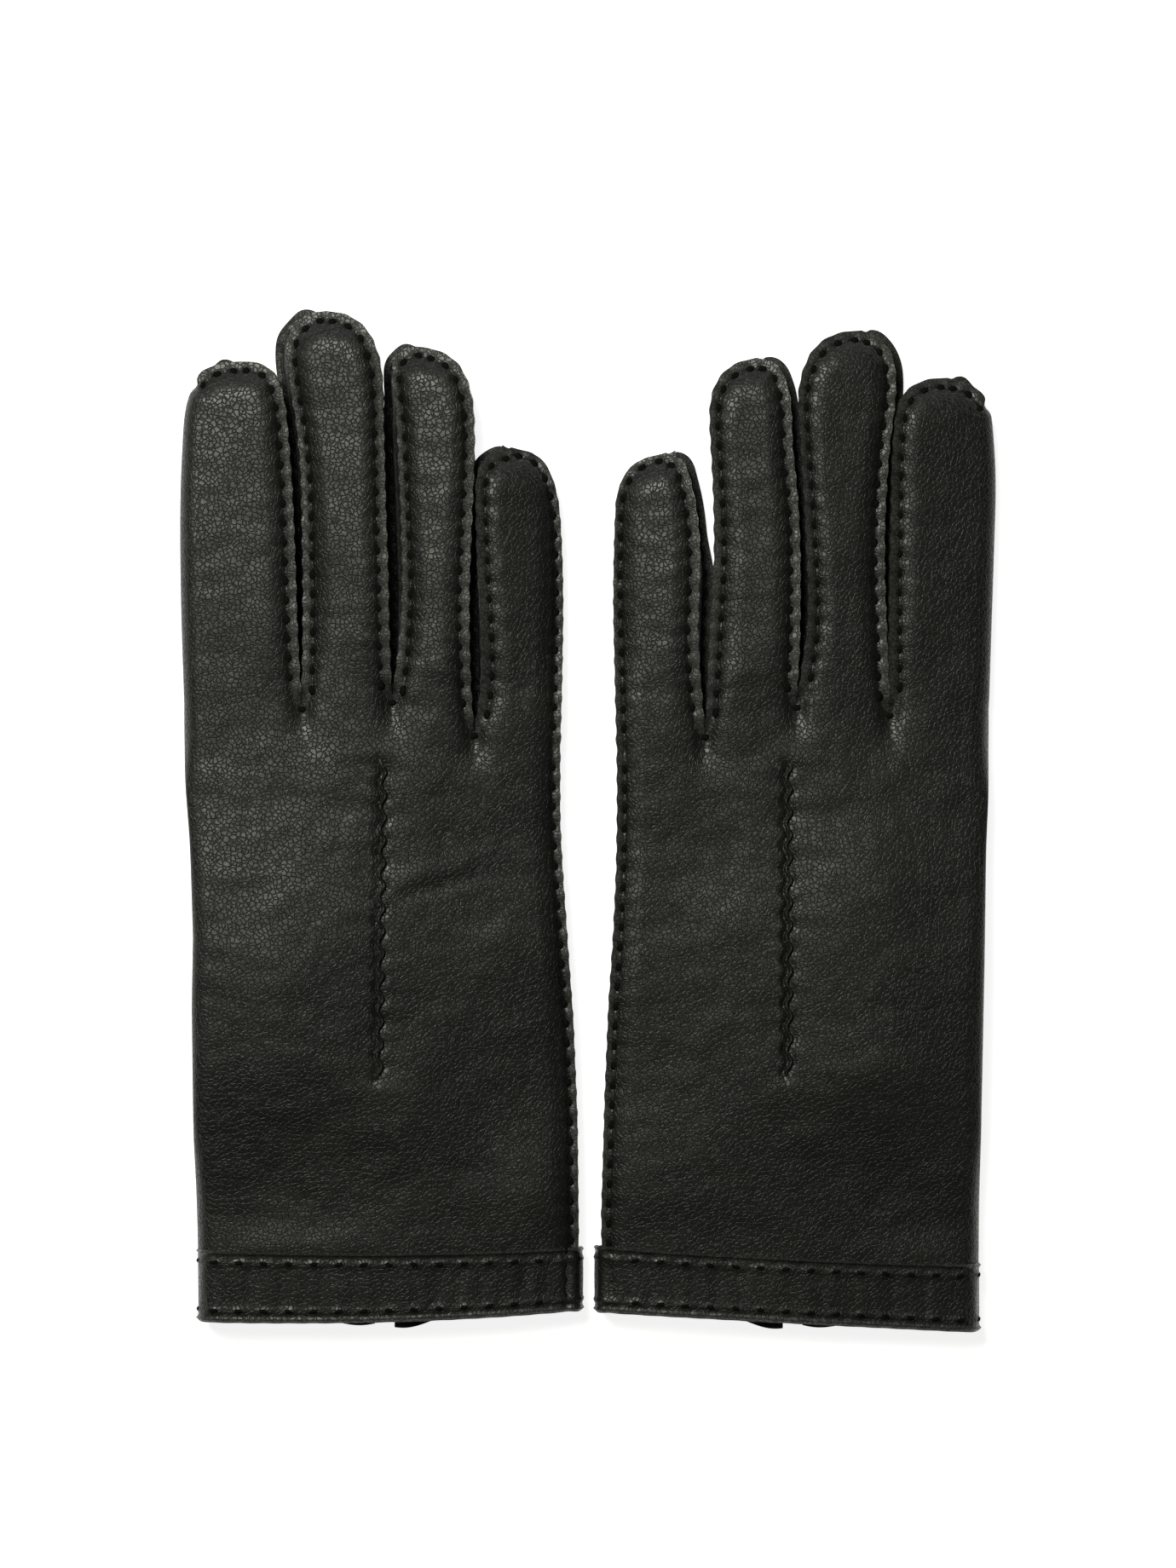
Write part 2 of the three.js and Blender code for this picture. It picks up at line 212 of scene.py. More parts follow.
def ease(low, high, value):
    t = clamp((value - low) / (high - low))
    return t * t * (3 - 2 * t)

def mix(a, b, t):
    return a + (b - a) * t

def clamp(value):
    return min(1.0, max(0.0, value))

def bell(distance, width):
    return math.exp(-(distance / width) ** 2)

def ripple(x, y, size, seed):
    return noise.noise(Vector((x / size, y / size, seed)))

def smoothCurve(points, count):
    # evenly spaced places on a smooth curve through the points
    inner = [Vector(p) for p in points]
    ends = [2 * inner[0] - inner[1]] + inner + [2 * inner[-1] - inner[-2]]
    fine = []
    for i in range(1, len(ends) - 2):
        a, b, c, d = ends[i - 1:i + 3]
        for j in range(16):
            t = j / 16
            bend = (2 * a - 5 * b + 4 * c - d) * t ** 2
            fine.append(0.5 * (2 * b + (c - a) * t + bend + (3 * b - a - 3 * c + d) * t ** 3))
    fine.append(ends[-2])
    lengths = [0.0]
    for a, b in zip(fine, fine[1:]):
        lengths.append(lengths[-1] + (b - a).length)
    curve = []
    k = 0
    for i in range(count + 1):
        goal = lengths[-1] * i / count
        while k < len(lengths) - 2 and lengths[k + 1] < goal:
            k += 1
        span = lengths[k + 1] - lengths[k]
        curve.append(fine[k].lerp(fine[k + 1], (goal - lengths[k]) / span))
    return curve, lengths[-1]

def along(curve, fraction):
    place = min(max(fraction, 0.0), 1.0) * (len(curve) - 1)
    i = min(int(place), len(curve) - 2)
    return curve[i].lerp(curve[i + 1], place - i)

def edgeAt(points, y):
    # x of a side of the hand at a height, eased between its points
    for (x0, y0), (x1, y1) in zip(points, points[1:]):
        if y <= y1:
            break
    return mix(x0, x1, clamp((y - y0) / (y1 - y0)))

def toWorld(glove, x, y, z):
    return Vector((glove["originX"] + glove["sign"] * x, glove["originY"] + y, z)) * mm

def pick(obj):
    bpy.ops.object.select_all(action="DESELECT")
    obj.select_set(True)
    bpy.context.view_layer.objects.active = obj

def applyModifiers(obj):
    pick(obj)
    for modifier in list(obj.modifiers):
        bpy.ops.object.modifier_apply(modifier=modifier.name)

def makeSheet(name, columns, rows, shape, facing, thickness=0.8, weld=False, cut=None):
    # A flat grid whose points are moved to shape(column, row), then given the thickness of leather. shape
    # returns a world place and how much painted highlight it gets, lighter on raised edges. facing is the way
    # that the outer side looks.
    bpy.ops.object.select_all(action="DESELECT")
    bpy.ops.mesh.primitive_grid_add(x_subdivisions=columns, y_subdivisions=rows, size=1)
    obj = bpy.context.object
    obj.name = obj.data.name = name
    mesh = obj.data
    # painted highlight: how much lighter each point is coloured where raised edges catch the light
    highlightMask = mesh.attributes.new("paintedHighlight", "FLOAT", "POINT")
    bpy.context.tool_settings.mesh_select_mode = (False, False, True)
    for part in (*mesh.vertices, *mesh.edges):
        part.select = False
    for face in mesh.polygons:
        column, row = int((face.center.x + 0.5) * columns), int((face.center.y + 0.5) * rows)
        face.select = cut is not None and cut(column, row)
    for i, vertex in enumerate(mesh.vertices):
        column = round((vertex.co.x + 0.5) * columns)
        row = round((vertex.co.y + 0.5) * rows)
        vertex.co, highlightMask.data[i].value = shape(column, row)
    mesh.update()
    if cut:
        bpy.ops.object.mode_set(mode="EDIT")
        bpy.ops.mesh.delete(type="FACE")
        bpy.ops.object.mode_set(mode="OBJECT")
    bpy.context.tool_settings.mesh_select_mode = (True, False, False)
    if weld:
        bpy.ops.object.mode_set(mode="EDIT")
        bpy.ops.mesh.select_all(action="SELECT")
        bpy.ops.mesh.remove_doubles(threshold=0.02 * mm)
        bpy.ops.object.mode_set(mode="OBJECT")
    total = sum((face.normal * face.area for face in mesh.polygons), Vector())
    outward = total.dot(Vector(facing))
    if not any(facing):
        outward = sum(face.normal.dot(face.center) * face.area for face in mesh.polygons)
    if outward < 0:
        bpy.ops.object.mode_set(mode="EDIT")
        bpy.ops.mesh.select_all(action="SELECT")
        bpy.ops.mesh.flip_normals()
        bpy.ops.object.mode_set(mode="OBJECT")
    solid = obj.modifiers.new("leather", "SOLIDIFY")
    solid.thickness = thickness * mm
    solid.offset = -1
    applyModifiers(obj)
    bpy.ops.object.shade_smooth_by_angle(angle=math.radians(50))
    return obj


def setStage():
    camera = bpy.data.objects.new("camera", bpy.data.cameras.new("camera"))
    bpy.context.collection.objects.link(camera)
    camera.data.lens = 100
    camera.data.sensor_width = 36
    camera.location = (0.0001, 0.009, 1.09)
    bpy.context.scene.camera = camera

    bpy.ops.mesh.primitive_plane_add(size=6, location=(0, 0, -0.0004))
    floor = bpy.context.object
    floor.name = "floor"
    paper = bpy.data.materials.new("whiteFloor")
    paper.use_nodes = True
    shader = paper.node_tree.nodes["Principled BSDF"]
    shader.inputs["Base Color"].default_value = (0.93, 0.93, 0.93, 1)
    shader.inputs["Roughness"].default_value = 0.9
    shader.inputs["Emission Color"].default_value = (1, 1, 1, 1)
    shader.inputs["Emission Strength"].default_value = 0.85
    floor.data.materials.append(paper)

    lights = [
        ("key", (-0.38, 0.52, 1.12), 0.5, 10.9, (1.0, 1.0, 0.9)),
        ("fill", (0.9, -0.5, 1.4), 1.2, 0.4, (1.0, 1.0, 1.0)),
        ("fromTop", (0.1, 1.4, 0.6), 0.6, 0.7, (1.0, 1.0, 1.0)),
    ]
    for name, place, size, power, colour in lights:
        lamp = bpy.data.objects.new(name, bpy.data.lights.new(name, "AREA"))
        bpy.context.collection.objects.link(lamp)
        lamp.data.size = size
        lamp.data.energy = power
        lamp.data.color = colour
        lamp.location = place
        lamp.rotation_euler = (-Vector(place)).to_track_quat("-Z", "Y").to_euler()
    world = bpy.data.worlds.new("studio")
    world.use_nodes = True
    world.node_tree.nodes["Background"].inputs["Color"].default_value = (1, 1, 1, 1)
    world.node_tree.nodes["Background"].inputs["Strength"].default_value = 0.014
    bpy.context.scene.world = world
    bpy.context.scene.view_settings.view_transform = "Standard"

setStage()
print("stage is set")


def newMaterial(name):
    material = bpy.data.materials.new(name)
    material.use_nodes = True
    return material, material.node_tree, material.node_tree.nodes["Principled BSDF"]

def addNode(tree, kind, settings=None, values=None):
    # a value that is another node's output is linked, and any other is set
    node = tree.nodes.new(kind)
    for key, value in (settings or {}).items():
        setattr(node, key, value)
    for key, value in (values or {}).items():
        if isinstance(value, bpy.types.NodeSocket):
            tree.links.new(value, node.inputs[key])
        else:
            node.inputs[key].default_value = value
    return node

def addNoise(tree, place, scale, detail, roughness=0.5):
    values = {"Vector": place, "Scale": scale, "Detail": detail, "Roughness": roughness}
    return addNode(tree, "ShaderNodeTexNoise", {}, values)

def blendColours(tree, factor, first, second):
    values = {"Factor": factor, "A": first, "B": second}
    return addNode(tree, "ShaderNodeMix", {"data_type": "RGBA"}, values).outputs["Result"]

def multiply(tree, first, second):
    return addNode(tree, "ShaderNodeMath", {"operation": "MULTIPLY"}, {0: first, 1: second}).outputs["Value"]

leatherLook = {
    # dark is the colour of the painted shade in the creases, and the low end of the random mottle
    "dark": (0.0015, 0.0015, 0.0015, 1),
    "light": (0.017, 0.017, 0.0145, 1),
    # painted highlight colour for raised seam edges, ridge crests and band rims
    "edge": (0.055, 0.055, 0.05, 1),
    "grainSize": 1.15,      # mm
    "grainDepth": 0.065,
    "foldDepth": 0.14,
    "creaseRoughness": 0.24,    # how much rougher the creases between the pebbles are
    "roughness": 0.36,
}

def leatherMaterial(name, grain=1.0):
    look = leatherLook
    material, tree, shader = newMaterial(name)
    place = addNode(tree, "ShaderNodeTexCoord").outputs["Object"]
    # mask of the painted highlight on raised edges
    mask = addNode(tree, "ShaderNodeAttribute", {"attribute_name": "paintedHighlight"}).outputs["Fac"]
    folds = addNoise(tree, place, 300, 4, 0.6)
    cloud = addNoise(tree, place, 45, 5, 0.6)
    warp = addNoise(tree, place, 700, 2)
    # the cells are pushed about a little, so that no two are alike
    shiftValues = {0: warp.outputs["Color"], "Scale": 0.0011}
    shift = addNode(tree, "ShaderNodeVectorMath", {"operation": "SCALE"}, shiftValues)
    moved = addNode(tree, "ShaderNodeVectorMath", {"operation": "ADD"}, {0: place, 1: shift.outputs[0]})
    cellValues = {"Vector": moved.outputs[0], "Scale": 1000 / look["grainSize"], "Randomness": 1.0}
    cells = addNode(tree, "ShaderNodeTexVoronoi", {"feature": "DISTANCE_TO_EDGE"}, cellValues)
    pebbleValues = {"Value": cells.outputs["Distance"], "From Min": 0.0, "From Max": 0.17}
    soft = {"interpolation_type": "SMOOTHSTEP"}
    pebble = addNode(tree, "ShaderNodeMapRange", soft, pebbleValues).outputs["Result"]

    # painted shade darkens the creases between the pebbles, and a painted highlight lightens the raised edges
    toneValues = {
        "Value": cloud.outputs["Fac"], "From Min": 0.32, "From Max": 0.68, "To Min": 0.35, "To Max": 1.0,
    }
    tone = addNode(tree, "ShaderNodeMapRange", {}, toneValues).outputs["Result"]
    # painted shade: the pebbles' creases are coloured darker, times a random mottle
    shade = multiply(tree, tone, pebble)
    colour = blendColours(tree, shade, look["dark"], look["light"])
    withHighlight = blendColours(tree, multiply(tree, mask, shade), colour, look["edge"])
    tree.links.new(withHighlight, shader.inputs["Base Color"])

    creased = look["roughness"] + look["creaseRoughness"]
    glossValues = {"Value": pebble, "To Min": creased, "To Max": look["roughness"]}
    gloss = addNode(tree, "ShaderNodeMapRange", {}, glossValues)
    tree.links.new(gloss.outputs["Result"], shader.inputs["Roughness"])

    smooth = addNode(tree, "ShaderNodeMapRange", {}, {"Value": mask, "To Min": grain, "To Max": 0.6 * grain})
    fineValues = {"Strength": smooth.outputs["Result"], "Distance": look["grainDepth"] * mm, "Height": pebble}
    fine = addNode(tree, "ShaderNodeBump", {}, fineValues)
    coarseValues = {"Strength": 0.5, "Distance": look["foldDepth"] * mm, "Height": folds.outputs["Fac"]}
    coarse = addNode(tree, "ShaderNodeBump", {}, coarseValues)
    tree.links.new(fine.outputs["Normal"], coarse.inputs["Normal"])
    tree.links.new(coarse.outputs["Normal"], shader.inputs["Normal"])
    shader.inputs["Specular IOR Level"].default_value = 0.5
    return material

def yarnMaterial(name, settings, values, dark, light, strength, depth):
    # thread and knitted lining: bands of yarn that go from dark to light and stand out a little
    material, tree, shader = newMaterial(name)
    place = addNode(tree, "ShaderNodeTexCoord").outputs["Object"]
    yarn = addNode(tree, "ShaderNodeTexWave", settings, {"Vector": place, **values}).outputs["Fac"]
    tree.links.new(blendColours(tree, yarn, dark, light), shader.inputs["Base Color"])
    bump = addNode(tree, "ShaderNodeBump", {}, {"Strength": strength, "Distance": depth * mm, "Height": yarn})
    tree.links.new(bump.outputs["Normal"], shader.inputs["Normal"])
    return material, shader

def threadMaterial():
    twist = {"Scale": 700, "Distortion": 1.5, "Detail": 1}
    dark, light = (0.0015, 0.0015, 0.0015, 1), (0.009, 0.009, 0.009, 1)
    bands = {"bands_direction": "DIAGONAL"}
    material, shader = yarnMaterial("waxedThread", bands, twist, dark, light, 0.5, 0.04)
    shader.inputs["Roughness"].default_value = 0.8
    shader.inputs["Specular IOR Level"].default_value = 0.08
    return material

def liningMaterial():
    knit = {"Scale": 420, "Distortion": 4, "Detail": 2, "Detail Scale": 3}
    dark, light = (0.012, 0.012, 0.013, 1), (0.04, 0.04, 0.043, 1)
    material, shader = yarnMaterial("knitLining", {"bands_direction": "X"}, knit, dark, light, 1.0, 0.15)
    shader.inputs["Roughness"].default_value = 0.85
    shader.inputs["Sheen Weight"].default_value = 0.3
    return material

leatherFinish = leatherMaterial("blackLeather")
threadFinish = threadMaterial()
liningFinish = liningMaterial()
print("leather, thread and lining are ready")


handSizes = {
    "backHeight": 9.7,
    "wristLift": 1.2,
    "thumbRoom": 6.6,
    "ventX": -1.3,
    "ventMouth": 4.9,
    "ventHeight": 40.0,
}

def palmHeight(x, y):
    # the palm's underside over the table: on the wrist band, over the folded thumb and down to the fingers
    size = handSizes
    over = ease(28, 52, y) * (1 - ease(-17, 17, x))
    return (1 - ease(129, 145, y)) * (size["wristLift"] + size["thumbRoom"] * over)

def thumbBump(x, y):
    return ease(24, 66, y) * (1 - ease(84, 152, y)) * (1 - ease(-28, 26, x))

def dome(glove, x):
    # the hand is a little higher along its middle
    low, high = glove["bend"]
    return 0.8 - (low if x < 0 else high) * x * x

pointSizes = {"wave": 5.6, "amplitude": 0.62, "width": 1.15, "height": 1.1, "groove": 0.85}

def pointCentre(glove, y):
    (px, low), (qx, high) = glove["point"]
    wave = pointSizes["amplitude"] * math.sin(2 * math.pi * y / pointSizes["wave"])
    return mix(px, qx, (y - low) / (high - low)) + wave

def backHeight(glove, x, y):
    size = handSizes
    height = size["backHeight"] + size["wristLift"] * (1 - ease(60, 150, y))
    height = height + 3.2 * thumbBump(x, y) + dome(glove, x)
    height += 0.7 * ripple(x, y, 34, 3) * ease(20, 45, y) + 0.22 * ripple(x, y * 1.6, 11, 7) * ease(12, 26, y)
    height += 0.1 * ripple(x, y, 4, 2)
    for sx, sy, wide, tall, rise in glove["swells"]:
        height += rise * bell(x - sx, wide) * bell(y - sy, tall)
    for finger in fingerNames[:-1]:
        cx, cy = glove["fingers"][finger]["high"][0]
        dip = bell(x - cx, 2.6) * bell(max(0.0, cy - y), 5.5)
        tuck = bell(x - cx, 7) * bell(max(0.0, cy - 5 - y), 9)
        height -= 1.6 * dip + 0.5 * tuck
    low, high = glove["point"][0][1], glove["point"][1][1]
    side = x - pointCentre(glove, y)
    inside = ease(low - 2, low + 2, y) * (1 - ease(high - 2, high + 2, y))
    groove = pointSizes["groove"] * (1.0 if side * glove["sign"] < 0 else 0.45)
    height -= inside * (groove * bell(abs(side) - 0.85, 0.6) + 0.25 * bell(side, 5))
    if glove["crease"]:
        across = (y - 104.4) - (x - 0.4) * 0.27
        reach = ease(-2, 8, x) * (1 - ease(12, 30, x))
        height += reach * (0.25 * bell(across - 4, 3.5) - 0.3 * bell(across, 2.2))
    return height

def stitchPull(fromTip):
    # 1 at a stitch and -1 half way to the next one
    return math.cos(2 * math.pi * (fromTip / leatherSizes["stitchPitch"] - 0.5))

def foldDrop(distance, depth):
    radius = leatherSizes["foldRadius"]
    t = 1 - min(1.0, distance / radius)
    return depth * (1 - math.sqrt(max(0.0, 1 - t * t)))

def seamDrop(distance, inset, fromTip, reach=5.2):
    # how far under the crown the leather lies near a stitch line, and the puckers that the stitches pull
    size = leatherSizes
    pull = stitchPull(fromTip)
    if distance < inset:
        drop = size["crown"] * (0.76 + 0.24 * distance / inset)
        drop = drop + size["pucker"] * pull * (0.4 + 0.6 * distance / inset)
    else:
        drop = size["crown"] * (1 - min(1.0, (distance - inset) / reach)) ** 1.9
        drop += size["pucker"] * pull * math.exp(-(distance - inset) / 1.8)
    return drop + size["groove"] * (0.4 + 0.6 * max(0.0, pull)) * bell(distance - inset, 0.6)


sideStops = [0, 0.08, 0.3, 0.7, 1.2, 1.7, 2.1, 2.4, 2.62, 2.9, 3.3, 3.9, 4.8, 6.0]
innerSteps = 7
sideCount = len(sideStops) - 1
fingerColumns = 2 * (sideCount + innerSteps)
fingerRows = 128
handRows = 176

def layFinger(glove, name):
    finger = glove["fingers"][name]
    finger["name"] = name
    for side in ("low", "high"):
        finger[side + "Curve"], finger[side + "Length"] = smoothCurve(finger[side] + [finger["tip"]], 240)
    base = (finger["lowCurve"][0] + finger["highCurve"][0]) / 2
    tip = Vector(finger["tip"])
    middles = []
    for i in range(241):
        fraction = i / 240
        sides = (along(finger["lowCurve"], fraction) + along(finger["highCurve"], fraction)) / 2
        reach = base.lerp(tip, fraction * (1 - 4.5 / (tip - base).length))
        middles.append(Vector((sides.x, mix(sides.y, reach.y, ease(0.0, 0.25, fraction)))))
    finger["spine"] = middles

def fingerPlace(finger, column, fraction, inset=None):
    # place on a finger's panel, with its distance from the edge
    low = column <= fingerColumns // 2
    step = column if low else fingerColumns - column
    curve = finger["lowCurve"] if low else finger["highCurve"]
    edge = along(curve, fraction)
    spine = along(finger["spine"], fraction)
    reach = (spine - edge).length
    if inset is not None:
        distance = inset
    elif step <= sideCount:
        distance = sideStops[step] * min(1.0, reach / (sideStops[-1] + 2.0))
    else:
        start = sideStops[-1] * min(1.0, reach / (sideStops[-1] + 2.0))
        distance = mix(start, reach, (step - sideCount) / innerSteps)
    place = edge.lerp(spine, distance / reach)
    return place.x, place.y, distance, low

def isFold(finger, low, fraction):
    # the index finger has no seam on its outer side, except round the tip
    if finger["name"] == "index" and low:
        return 1 - ease(0.84, 0.87, fraction)
    return 0.0

def insetOf(finger, low):
    outer = finger["name"] == "little" and not low
    return leatherSizes["sideInset"] if outer else leatherSizes["stitchInset"]

def fingerMiddle(finger, x, y):
    # height of the middle of a finger's thickness
    tipY = finger["tip"][1]
    return 5.0 - 0.4 * ease(tipY - 14, tipY, y)

def fingerTop(glove, finger, x, y):
    tipY = finger["tip"][1]
    middle = mix(finger["spine"][0].x, finger["tip"][0], clamp((y - 152) / (tipY - 152)))
    tilt = finger["tilt"] * (x - middle) * ease(152, 175, y)
    height = tilt + 9.9 - 2.6 * ease(tipY - 11, tipY + 2, y) ** 1.2 + dome(glove, x)
    return height + 0.4 * ripple(x, y, 19, 5) + 0.13 * ripple(x, y * 2.2, 9, 11) + 0.06 * ripple(x, y, 3.5, 4)

def handBackZ(glove, x, y, distance, kind, fromTip):
    top = backHeight(glove, x, y)
    if kind == "fold":
        bottom = palmHeight(x, y)
        return top - foldDrop(distance, (top - bottom) / 2)
    if kind == "seam":
        return top - seamDrop(distance, leatherSizes["sideInset"], fromTip)
    return top

def sideKind(finger, low):
    if finger["name"] == "index" and low:
        return "fold"
    if finger["name"] == "little" and not low:
        return "seam"
    return "joined"

def fingerBack(glove, finger, column, fraction, inset=None):
    x, y, distance, low = fingerPlace(finger, column, fraction, inset)
    whole = finger["lowLength" if low else "highLength"]
    length = fraction * whole
    fromTip = whole - length
    line = insetOf(finger, low)
    kind = sideKind(finger, low)
    own = fingerTop(glove, finger, x, y)
    fold = isFold(finger, low, fraction)
    drop = seamDrop(distance, line, fromTip)
    if fold > 0:
        drop = mix(drop, foldDrop(distance, own - fingerMiddle(finger, x, y)), fold)
    start = handBackZ(glove, x, y, distance, kind, fromTip)
    height = mix(start, own - drop, ease(0, 3.5 + 12 * min(1.0, distance / 7), length))
    seamed = (1 - fold) * (1 if kind == "seam" else ease(0, 3, length))
    # painted highlight on the raised flange along the seam
    mask = seamed * (1 - ease(line - 0.7, line - 0.1, distance))
    scallop = 0.16 * stitchPull(fromTip) * (1 - min(1.0, distance / line)) * seamed * ease(0, 3, fromTip)
    return x + (scallop if low else -scallop) + tipNotch(finger, low, length, distance), y, height, mask

def tipNotch(finger, low, length, distance):
    # the index finger's edge is pulled in where its seam starts
    if finger["name"] != "index" or not low:
        return 0.0
    return 1.1 * bell(length - 0.85 * finger["lowLength"], 1.3) * (1 - min(1.0, distance / 4))

def fingerBackShape(glove, finger):
    def shape(column, row):
        x, y, z, mask = fingerBack(glove, finger, column, row / fingerRows)
        return toWorld(glove, x, y, z), mask
    return shape

def handColumn(glove, column):
    # finger and column within it that a column of the hand runs up to
    index = min(column // fingerColumns, 3)
    return glove["fingers"][fingerNames[index]], column - index * fingerColumns

def handPlace(glove, column, fraction):
    finger, step = handColumn(glove, column)
    topX, topY, distance, low = fingerPlace(finger, step, 0)
    kind = sideKind(finger, low)
    if step > sideCount and step < fingerColumns - sideCount:
        kind = "joined"
    hem = hemAt(glove, topX)
    y = mix(hem, topY, fraction)
    foldX, seamX = edgeAt(glove["fold"], y), edgeAt(glove["seam"], y)
    if kind == "fold":
        x = foldX + distance
    elif kind == "seam":
        x = seamX - distance
    else:
        lowX = glove["fold"][-1][0] + sideStops[-1]
        highX = glove["seam"][-1][0] - sideStops[-1]
        share = (topX - lowX) / (highX - lowX)
        x = mix(foldX + sideStops[-1], seamX - sideStops[-1], share)
    x = mix(x, topX, ease(0.75, 1.0, fraction))
    return x, y, distance, kind

def lineAt(values, x):
    # through three heights, at the fold, in the middle and at the seam
    a, b, c = values
    t = min(1.0, max(-1.0, x / 45))
    return b + (c - a) / 2 * t + ((a + c) / 2 - b) * t * t

def hemAt(glove, x):
    return lineAt(glove["hem"], x) + 0.5

def handBackShape(glove):
    def shape(column, row):
        fraction = row / handRows
        x, y, distance, kind = handPlace(glove, column, fraction)
        fromTip = sideFromTip(glove, y)
        z = handBackZ(glove, x, y, distance, kind, fromTip)
        mask = 0.0
        if kind == "seam":
            inset = leatherSizes["sideInset"]
            # painted highlight on the raised flange of the side seam
            mask = 1 - ease(inset - 0.7, inset - 0.1, distance)
            x -= 0.16 * stitchPull(fromTip) * (1 - min(1.0, distance / inset))
        return toWorld(glove, x, y, z), mask
    return shape

def sideFromTip(glove, y):
    # length of the side seam from the little finger's tip down to a height on the hand
    return glove["fingers"]["little"]["highLength"] + glove["seam"][-1][1] - y

def layGlove(glove):
    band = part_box(f"{glove['name']}_wrist_band")
    glove["originX"] = (band[0][0] + band[1][0]) / 2 / mm
    glove["originY"] = band[0][1] / mm
    for name in fingerNames:
        layFinger(glove, name)

def bendWithFinger(piece, glove, fingerName):
    # bakes the piece's place into its mesh; the base of the finger is worked out but not used
    finger = glove["fingers"][fingerName]
    start = max(finger["lowCurve"][0].y, finger["highCurve"][0].y) + 0.5
    x = (finger["lowCurve"][0].x + finger["highCurve"][0].x) / 2
    tuple(toWorld(glove, x, start, 0))
    tuple(toWorld(glove, x, start + 20, 0))
    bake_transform(piece)

def finishPiece(obj, material, slot, *nodes):
    obj.data.materials.clear()
    obj.data.materials.append(material)
    if nodes:
        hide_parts(*nodes)
    return obj

def makeBack(glove):
    name = glove["name"]
    hand = makeSheet(f"{name}_handBack", 4 * fingerColumns, handRows, handBackShape(glove), (0, 0, 1))
    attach(finishPiece(hand, leatherFinish, "leather", f"{name}_hand_back"), f"{name}_hand")
    for fingerName in fingerNames:
        finger = glove["fingers"][fingerName]
        shape = fingerBackShape(glove, finger)
        back = makeSheet(f"{name}_{fingerName}Back", fingerColumns, fingerRows, shape, (0, 0, 1), weld=True)
        finishPiece(back, leatherFinish, "leather", f"{name}_{fingerName}_back")
        bendWithFinger(back, glove, fingerName)


def wrapPlace(step, inset, top, bottom):
    # the palm's side of the long outer seam: flange, then round the side of the hand to the underside
    if step <= 3:
        return inset * step / 3, top
    if step <= 12:
        turn = math.pi * (step - 3) / 9
        return inset - 0.9 * math.sin(turn), mix(top, bottom, (1 - math.cos(turn)) / 2)
    return inset + 1.8, bottom

def palmSlide(glove, finger, low, fraction, distance):
    # the palm side lies towards the index side, and its low edge reaches the finger beside it
    slide = finger.get("palmShift", leatherSizes["palmShift"]) * ease(0.0, 0.15, fraction)
    place = fingerNames.index(finger["name"])
    if not low or place == 0:
        return slide
    beside = glove["fingers"][fingerNames[place - 1]]
    edge = along(finger["lowCurve"], fraction)
    x = xAtHeight(beside["highCurve"], edge.y)
    if x is None:
        return slide
    gap = edge.x - x
    besideSlide = beside.get("palmShift", leatherSizes["palmShift"]) * ease(0.0, 0.15, fraction)
    wanted = gap + max(0.0, min(0.9, besideSlide - 0.3))
    wanted = mix(max(slide, wanted), slide, ease(beside["tip"][1] - 14, beside["tip"][1] - 4, edge.y))
    wanted = mix(wanted, slide, ease(*finger.get("closed", (0.72, 0.86)), fraction))
    wanted *= ease(0, 2.5, fraction * finger["lowLength"])
    return mix(wanted, slide, min(1.0, distance / 8))

def xAtHeight(curve, y):
    for a, b in zip(curve, curve[1:]):
        if a.y <= y < b.y:
            return mix(a.x, b.x, (y - a.y) / (b.y - a.y))
    return None

def fingerPalmZ(finger, x, y):
    tipY = finger["tip"][1]
    return 0.2 + 1.7 * ease(tipY - 15, tipY + 2, y) + 0.15 * ripple(x, y, 14, 21)

def palmSeamRise(distance, inset, fromTip):
    pull = stitchPull(fromTip)
    rise = 0.5 if distance < inset else 0.5 * (1 - min(1.0, (distance - inset) / 5)) ** 2
    return rise + (0.35 + 0.15 * pull) * bell(distance - inset, 0.55)

def handPalmZ(glove, x, y):
    height = palmHeight(x, y) + 0.12 * ripple(x, y, 16, 23)
    for name in fingerNames[:-1]:
        cx, cy = glove["fingers"][name]["high"][0]
        height += 0.5 * bell(x - cx, 2.6) * bell(max(0.0, cy - y), 4)
    return height + 0.15

def flangeUnder(glove, x, y, distance, fromTip, finger=None, fraction=0.0):
    # height just under the back's flange on the long outer seam
    inset = leatherSizes["sideInset"]
    if finger is None:
        return handBackZ(glove, x, y, distance, "seam", fromTip) - leatherSizes["thickness"] - 0.04
    outer = fingerBack(glove, finger, fingerColumns, fraction, inset=distance)[2]
    return outer - leatherSizes["thickness"] - 0.04

def tipBump(low, fromTip):
    # the end of the palm side stands out a little beside the middle of the tip
    across = -fromTip if low else fromTip
    return 0.75 * bell(across + 2.6, 3.2) - 0.45 * bell(across - 1.0, 1.4)

